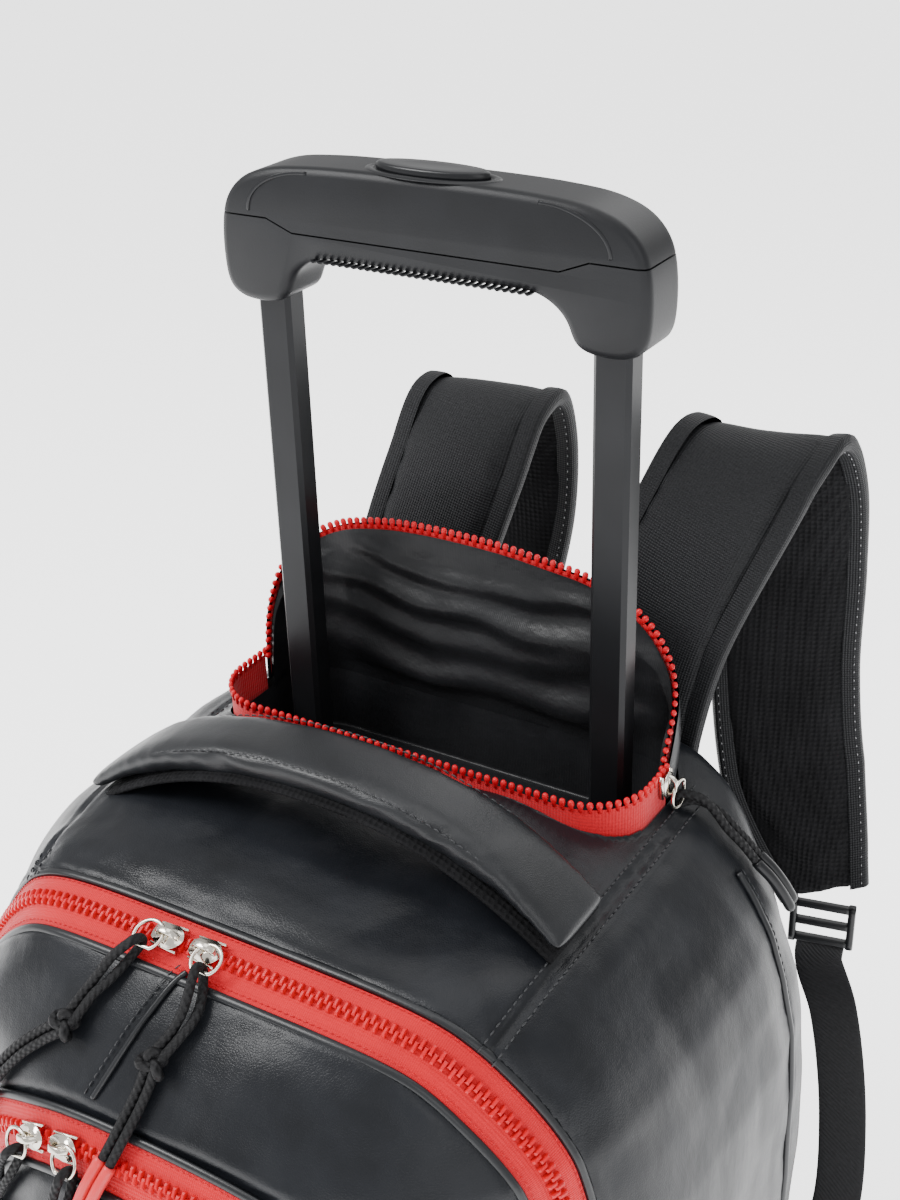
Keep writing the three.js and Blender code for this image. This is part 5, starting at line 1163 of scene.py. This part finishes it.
def makeStrap(label):
    table = np.array(straps[label])
    curve = smoothLine([onPath(*row[:3]) for row in table], 16)
    leans = np.interp(np.linspace(0, len(table) - 1, len(curve)), np.arange(len(table)), table[:, 3])
    run, share = runOf(curve), np.linspace(0, 1, strap["steps"])
    line = atSteps(curve, count=strap["steps"])
    leans = np.interp(share * run[-1], run, leans)
    across, cross = turnedAcross(line, leans)
    outs = -cross
    past = np.clip((share - strap["taperFrom"]) / (1 - strap["taperFrom"]), 0, 1)
    widths = strap["width"] * (1 - strap["taper"] * past ** 1.4)
    addPad(f"shoulder_pad_{label}", line, across, outs, widths - 3, strap["thick"] - 1.2, strapNylon, airMesh,
           f"shoulder_strap_{label}", cap=0.002, edge=0.55)
    for side, edge in ((1, "outer"), (-1, "inner")):
        addBinding(f"strap_edge_{label}_{edge}", line, across, outs, widths - 1.5, side, finish=strapNylon)
        row = line + across * side * (widths[:, None] / 2 - 3.2) - outs * 4.6
        addStitches(f"strap_ticks_{label}_{edge}", row, -outs, paleThread, length=1.2, pitch=4.6, thick=0.5,
                    slot="nylon")
    patch = slice(int(strap["steps"] * strapPatch["from"]), int(strap["steps"] * strapPatch["to"]))
    half, seam = strapPatch["halfWidth"], strapPatch["seamAt"]
    lift = outs[patch] * (strap["thick"] / 2 + strapPatch["lift"])
    cover = np.stack([line[patch] + across[patch] * s * half + lift for s in np.linspace(-1, 1, 9)], axis=1)
    addGrid(f"strap_patch_{label}", cover, herringbone, wrap=False, slot="webbing")
    mid, low, high = line[patch] + lift, 0, len(line[patch]) - 1
    corners = [mid[low] - across[patch][low] * seam, mid[low] + across[patch][low] * seam,
               mid[high] + across[patch][high] * seam, mid[high] - across[patch][high] * seam]
    for k, (a, b) in enumerate(((0, 1), (1, 2), (2, 3), (3, 0), (0, 2), (1, 3))):
        edge = np.linspace(corners[a], corners[b], 20)
        edge = edge + outs[patch][high // 2] * 0.8
        addStitches(f"strap_box_{label}_{k + 1}", edge, np.repeat(outs[patch][[high // 2]], 20, axis=0), thread,
                    length=2.2, pitch=2.9, thick=0.6, slot="nylon")


for label in straps:
    makeStrap(label)
print("straps made")


# ladder locks and the lower webbing
lock = {"width": 34, "height": 26, "thick": 5, "lean": 12, "bar": 4.0,
        "place": {"right": (145.45, 126.4, 309.8), "left": (-145.45, 126.4, 306.1)}}
lower = {"width": 25, "thick": 2, "footBack": {"right": 34.9, "left": 34.9},
         "path": [(0.888, 0.835, 0.522), (0.972, 0.682, 0.373), (1, 0.47, 0.248), (0.944, 0.21, 0.161)],
         "foot": (0.831, 0.123)}


def roundedBar(a, b, wide, thick, across, out, count=14):
    line = np.linspace(a, b, 9)
    section = padSection(wide, thick, count, 3)
    rings = line[:, None] + section[None, :, 0:1] * across + section[None, :, 1:2] * out
    return rings.reshape(-1, 3), gridFaces(9, count, True).tolist() + [list(range(count))[::-1],
                                                                      list(range(8 * count, 9 * count))]


def makeLock(label):
    side = 1 if label == "right" else -1
    turned = math.radians(side * lock["lean"])
    across, out, up = (np.array(v) for v in ((math.cos(turned), math.sin(turned), 0),
                                             (-math.sin(turned), math.cos(turned), 0), (0, 0, 1.0)))
    at = np.array(lock["place"][label])
    w, h, b = lock["width"] / 2, lock["height"] / 2, lock["bar"]
    uprights = [at + across * s * (w - b / 2) for s in (1, -1)]
    parts = [roundedBar(foot - up * h, foot + up * h, b, lock["thick"], across, out) for foot in uprights]
    parts += [roundedBar(at - across * (w - 1) + up * z, at + across * (w - 1) + up * z, b, 4.4, up, out)
              for z in (h - b / 2, 0.0, -h + b / 2)]
    addPiece(f"lock_{label}", *joined(parts), smoothPlastic, replaces=f"ladder_lock_{label}", slot="plastic")


def makeWebbing(label):
    side = 1 if label == "right" else -1
    x, y, z = lock["place"][label]
    under = z - lock["height"] / 2 - 0.3
    path = [(x, y + 0.5, under), (x, y + 0.3, under - 12)]
    path += [onPath(side * a, b, c) for a, b, c in lower["path"]]
    footX, _, footZ = onPath(side * lower["foot"][0], 0, lower["foot"][1])
    path.append((footX, lower["footBack"][label], footZ))
    line = atSteps(smoothLine(path), count=90)
    across, outs = turnedAcross(line, np.full(len(line), side * 12.0))
    addSweep(f"webbing_{label}", line, across, outs, padSection(lower["width"], lower["thick"], 24, 4), herringbone,
             replaces=f"lower_webbing_{label}", slot="webbing")


for label in straps:
    makeLock(label)
    makeWebbing(label)
print("locks and webbing made")

# pull handle: a grip in two half shells, a push button and two tubes
grip = {"halfWidth": 101.0, "depth": 29.0, "rim": 656.0, "top": 717.0, "partEnds": 693.0, "partMiddle": 688.0,
        "underside": 678.0, "legInner": 66.0, "legX": 82.0, "round": 3.8, "groove": 0.7}


def gripOutline():
    g = grip
    out = [(0, g["top"]), (28, g["top"] - 0.1), (55, g["top"] - 1), (76, g["top"] - 3.4), (90, g["top"] - 9),
           (98, g["top"] - 18), (g["halfWidth"], g["top"] - 30), (g["halfWidth"], g["rim"] + 12),
           (99.2, g["rim"] + 5),
           (93, g["rim"] + 0.4), (74, g["rim"] + 0.4), (68.2, g["rim"] + 4), (66.4, g["rim"] + 10),
           (62, g["underside"] - 6), (52, g["underside"] - 0.6), (40, g["underside"]), (0, g["underside"])]
    half = np.array([(x, 0, z) for x, z in out])
    half = smoothLine(half, 8)
    return np.vstack([half, (half[::-1] * (-1, 1, 1))[1:-1]])


def makeGrip():
    outline = gripOutline()
    outline = atSteps(np.vstack([outline, outline[:1]]), count=421)[:-1]
    for _ in range(12):
        outline = (np.roll(outline, 1, axis=0) + 2 * outline + np.roll(outline, -1, axis=0)) / 4
    ahead = unit(np.roll(outline, -1, axis=0) - np.roll(outline, 1, axis=0))
    inward = np.stack([ahead[:, 2], 0 * ahead[:, 0], -ahead[:, 0]], axis=1)
    middle = np.array((0, 0, (grip["underside"] + grip["top"]) / 2))
    if ((middle - outline[0]) * inward[0]).sum() < 0:
        inward = -inward
    rings = []
    for t in np.linspace(-1, 1, 27):
        y = t * grip["depth"] / 2
        fromEdge = grip["depth"] / 2 * (1 - abs(t))
        pull = grip["round"] * (1 - math.sqrt(max(0, 1 - max(0, 1 - fromEdge / grip["round"]) ** 2)))
        rings.append(outline + inward * pull + (0, y, 0))
    rings = np.array(rings)
    cols = len(outline)
    faces = gridFaces(len(rings), cols, True).tolist()
    faces += [list(range(cols))[::-1], [(len(rings) - 1) * cols + i for i in range(cols)]]
    return rings.reshape(-1, 3), faces


def cutPart(name, points, faces, keepAbove, finish, node):
    piece = addPiece(name, points, faces, finish, body="pull_handle", replaces=node, slot="plastic")
    ends = [(-grip["halfWidth"] - 9, grip["partEnds"]), (-76, grip["partEnds"]), (-63, grip["partMiddle"]),
            (63, grip["partMiddle"]), (76, grip["partEnds"]), (grip["halfWidth"] + 9, grip["partEnds"])]
    shift = grip["groove"] / 2 * (1 if keepAbove else -1)
    far = grip["top"] + 60 if keepAbove else grip["rim"] - 60
    flat = [(x, z + shift) for x, z in ends] + [(ends[-1][0], far), (ends[0][0], far)]
    block = bpy.data.meshes.new("cutter")
    corners = [(x, y, z) for y in (-40, 40) for x, z in flat]
    n = len(flat)
    sides = [[i, (i + 1) % n, (i + 1) % n + n, i + n] for i in range(n)]
    block.from_pydata(toFrame(corners).tolist(), [], [list(range(n))[::-1], list(range(n, 2 * n)), *sides])
    shape = bmesh.new()
    shape.from_mesh(block)
    bmesh.ops.recalc_face_normals(shape, faces=shape.faces)
    shape.to_mesh(block)
    shape.free()
    cutter = bpy.data.objects.new("cutter", block)
    bpy.context.scene.collection.objects.link(cutter)
    keep = piece.modifiers.new("half", "BOOLEAN")
    keep.operation, keep.solver, keep.object = "INTERSECT", "EXACT", cutter
    bakeModifiers(piece)
    bpy.data.objects.remove(cutter)
    return piece


gripPoints, gripFaces = makeGrip()
upperGrip = cutPart("grip_upper_shell", gripPoints, gripFaces, True, mouldedPlastic, "grip_upper")
lowerGrip = cutPart("grip_lower_shell", gripPoints, gripFaces, False, mouldedPlastic, "grip_lower")
for half in (upperGrip, lowerGrip):
    half.data.polygons.foreach_set("use_smooth", [True] * len(half.data.polygons))
    half.data.set_sharp_from_angle(angle=math.radians(38))


def seatOn(piece, points, way):
    shape = bmesh.new()
    shape.from_mesh(piece.data)
    tree = BVHTree.FromBMesh(shape)
    shape.free()
    seats = []
    for point in toFrame(points):
        hit = tree.ray_cast(Vector(point), Vector(way))[0]
        seats.append(np.array(hit if hit else point) * 1000 - drawingShift)
    return np.array(seats)


# a half-moon button in a scooped recess, with the recess's raised rim
button = {"halfWidth": 26.5, "halfDepth": 9.4, "ahead": 2.2, "backShare": 0.75, "rimHeight": 716.9,
          "dome": [(715.4, 1), (718.0, 1), (719.2, 0.985), (719.9, 0.95), (720.1, 0.88), (719.9, 0.5), (719.8, 0.1)]}


def makeButton():
    half, deep, ahead = button["halfWidth"], button["halfDepth"], button["ahead"]
    turn = np.linspace(0, 2 * math.pi, 97)[:-1]
    y = np.sin(turn) * deep
    rim = np.stack([np.cos(turn) * half, np.where(y < 0, y, y * button["backShare"])], axis=1) + (0, -ahead)
    rings = []
    for z, share in button["dome"]:
        rings.append([(x * share, (y + ahead) * share - ahead, z) for x, y in rim])
    addGrid("button_cap", np.array(rings), smoothPlastic, body="push_button", replaces="push_button", slot="plastic")
    edge = np.array([(x * 1.12, (y + ahead) * 1.2 - ahead, button["rimHeight"]) for x, y in rim])
    out = np.tile((0, 0, 1.0), (len(edge), 1))
    across = np.cross(out, unit(np.roll(edge, -1, axis=0) - np.roll(edge, 1, axis=0)))
    section = np.array([(-2.0, -0.4), (-1.4, 0.25), (0, 0.55), (1.4, 0.25), (2.0, -0.4)])
    ring = edge[:, None] + section[None, :, 0:1] * across[:, None] + section[None, :, 1:2] * out[:, None]
    addGrid("button_rim", np.concatenate([ring, ring[:1]]), smoothPlastic, wrap=False, body="pull_handle",
            slot="plastic")


makeButton()
for side, label in ((1, "right"), (-1, "left")):  # finger ribs under the grip and crescent ticks at its corners
    bend = np.linspace(0, math.pi / 2, 40)
    arc = seatOn(upperGrip, np.stack([side * (54 + 31 * np.sin(bend)), np.full(40, -40.0),
                                      grip["partEnds"] + 2.5 + 18.2 * np.cos(bend)], axis=1), (0, 1, 0))
    across, outs = carried(arc, (0, -1.0, 0.2))
    addSweep(f"grip_crescent_{label}", arc, across, outs, padSection(1.5, 0.8, 10, 3), smoothPlastic,
             body="pull_handle", slot="plastic")
ribs = np.array([(x, -12.4, grip["underside"] + 0.2) for x in np.arange(-52, 53, 3.4)])
template, faces = stitchShape(11.0, 1.9)
ribWays = [np.tile(way, (len(ribs), 1)) for way in ((0, 1.0, 0), (1.0, 0, 0), (0, -0.35, -0.94))]
addCopies("grip_ribs", template, faces, ribs, *ribWays, mouldedPlastic, body="pull_handle", slot="plastic")
print("grip made")

# hard nodes that keep their own solid, with a finish of their own
keptNodes = {"sliding_tube": satinTube, "fixed_tube": satinTube, "wheel": rubber, "axle": nickel,
             "front_foot": rubber}


def dressNode(node, finish):
    mesh = bpy.data.objects[node].data
    mesh.materials.clear()
    mesh.materials.append(finish)


for node, finish in keptNodes.items():
    for label in ("right", "left"):
        dressNode(f"{node}_{label}", finish)
dressNode("base_moulding", mouldedPlastic)
print("hard pieces dressed")


# floor, light and air
studio = {"floorColour": (0.97, 0.97, 0.975), "world": 0.85, "floorGlow": 1.9,
          "lamps": [("key", (-1.1, -0.9, 1.9), 0.9, 40), ("fill", (1.3, -1.2, 1.5), 1.2, 8),
                    ("back", (0.2, 1.3, 1.7), 1.4, 12), ("top", (0, 0, 2.2), 1.2, 8)]}


def makeStudio():
    floorFinish = makeFinish("paperFloor", studio["floorColour"], 0.9, spread=0.01, bumps=[("noise", 3, 0.02, even)])
    shader = floorFinish.node_tree.nodes["Principled BSDF"]
    shader.inputs["Emission Color"].default_value = (1, 1, 1, 1)
    shader.inputs["Emission Strength"].default_value = studio["floorGlow"]
    mesh = bpy.data.meshes.new("floor")
    mesh.from_pydata([(-6, -6, 0), (6, -6, 0), (6, 6, 0), (-6, 6, 0)], [], [(0, 1, 2, 3)])
    mesh.materials.append(floorFinish)
    floor = bpy.data.objects.new("floor", mesh)
    bpy.context.scene.collection.objects.link(floor)
    aim = Vector((0, 0, 0.35))
    for name, place, size, power in studio["lamps"]:
        data = bpy.data.lights.new(name, "AREA")
        data.size, data.energy = size, power
        lamp = bpy.data.objects.new(name, data)
        lamp.location = place
        lamp.rotation_euler = (aim - Vector(place)).to_track_quat("-Z", "Y").to_euler()
        bpy.context.scene.collection.objects.link(lamp)
    world = bpy.data.worlds.new("softAir")
    world.use_nodes = True
    air = world.node_tree.nodes["Background"]
    air.inputs["Color"].default_value = (1, 1, 1, 1)
    air.inputs["Strength"].default_value = studio["world"]
    bpy.context.scene.world = world


makeStudio()
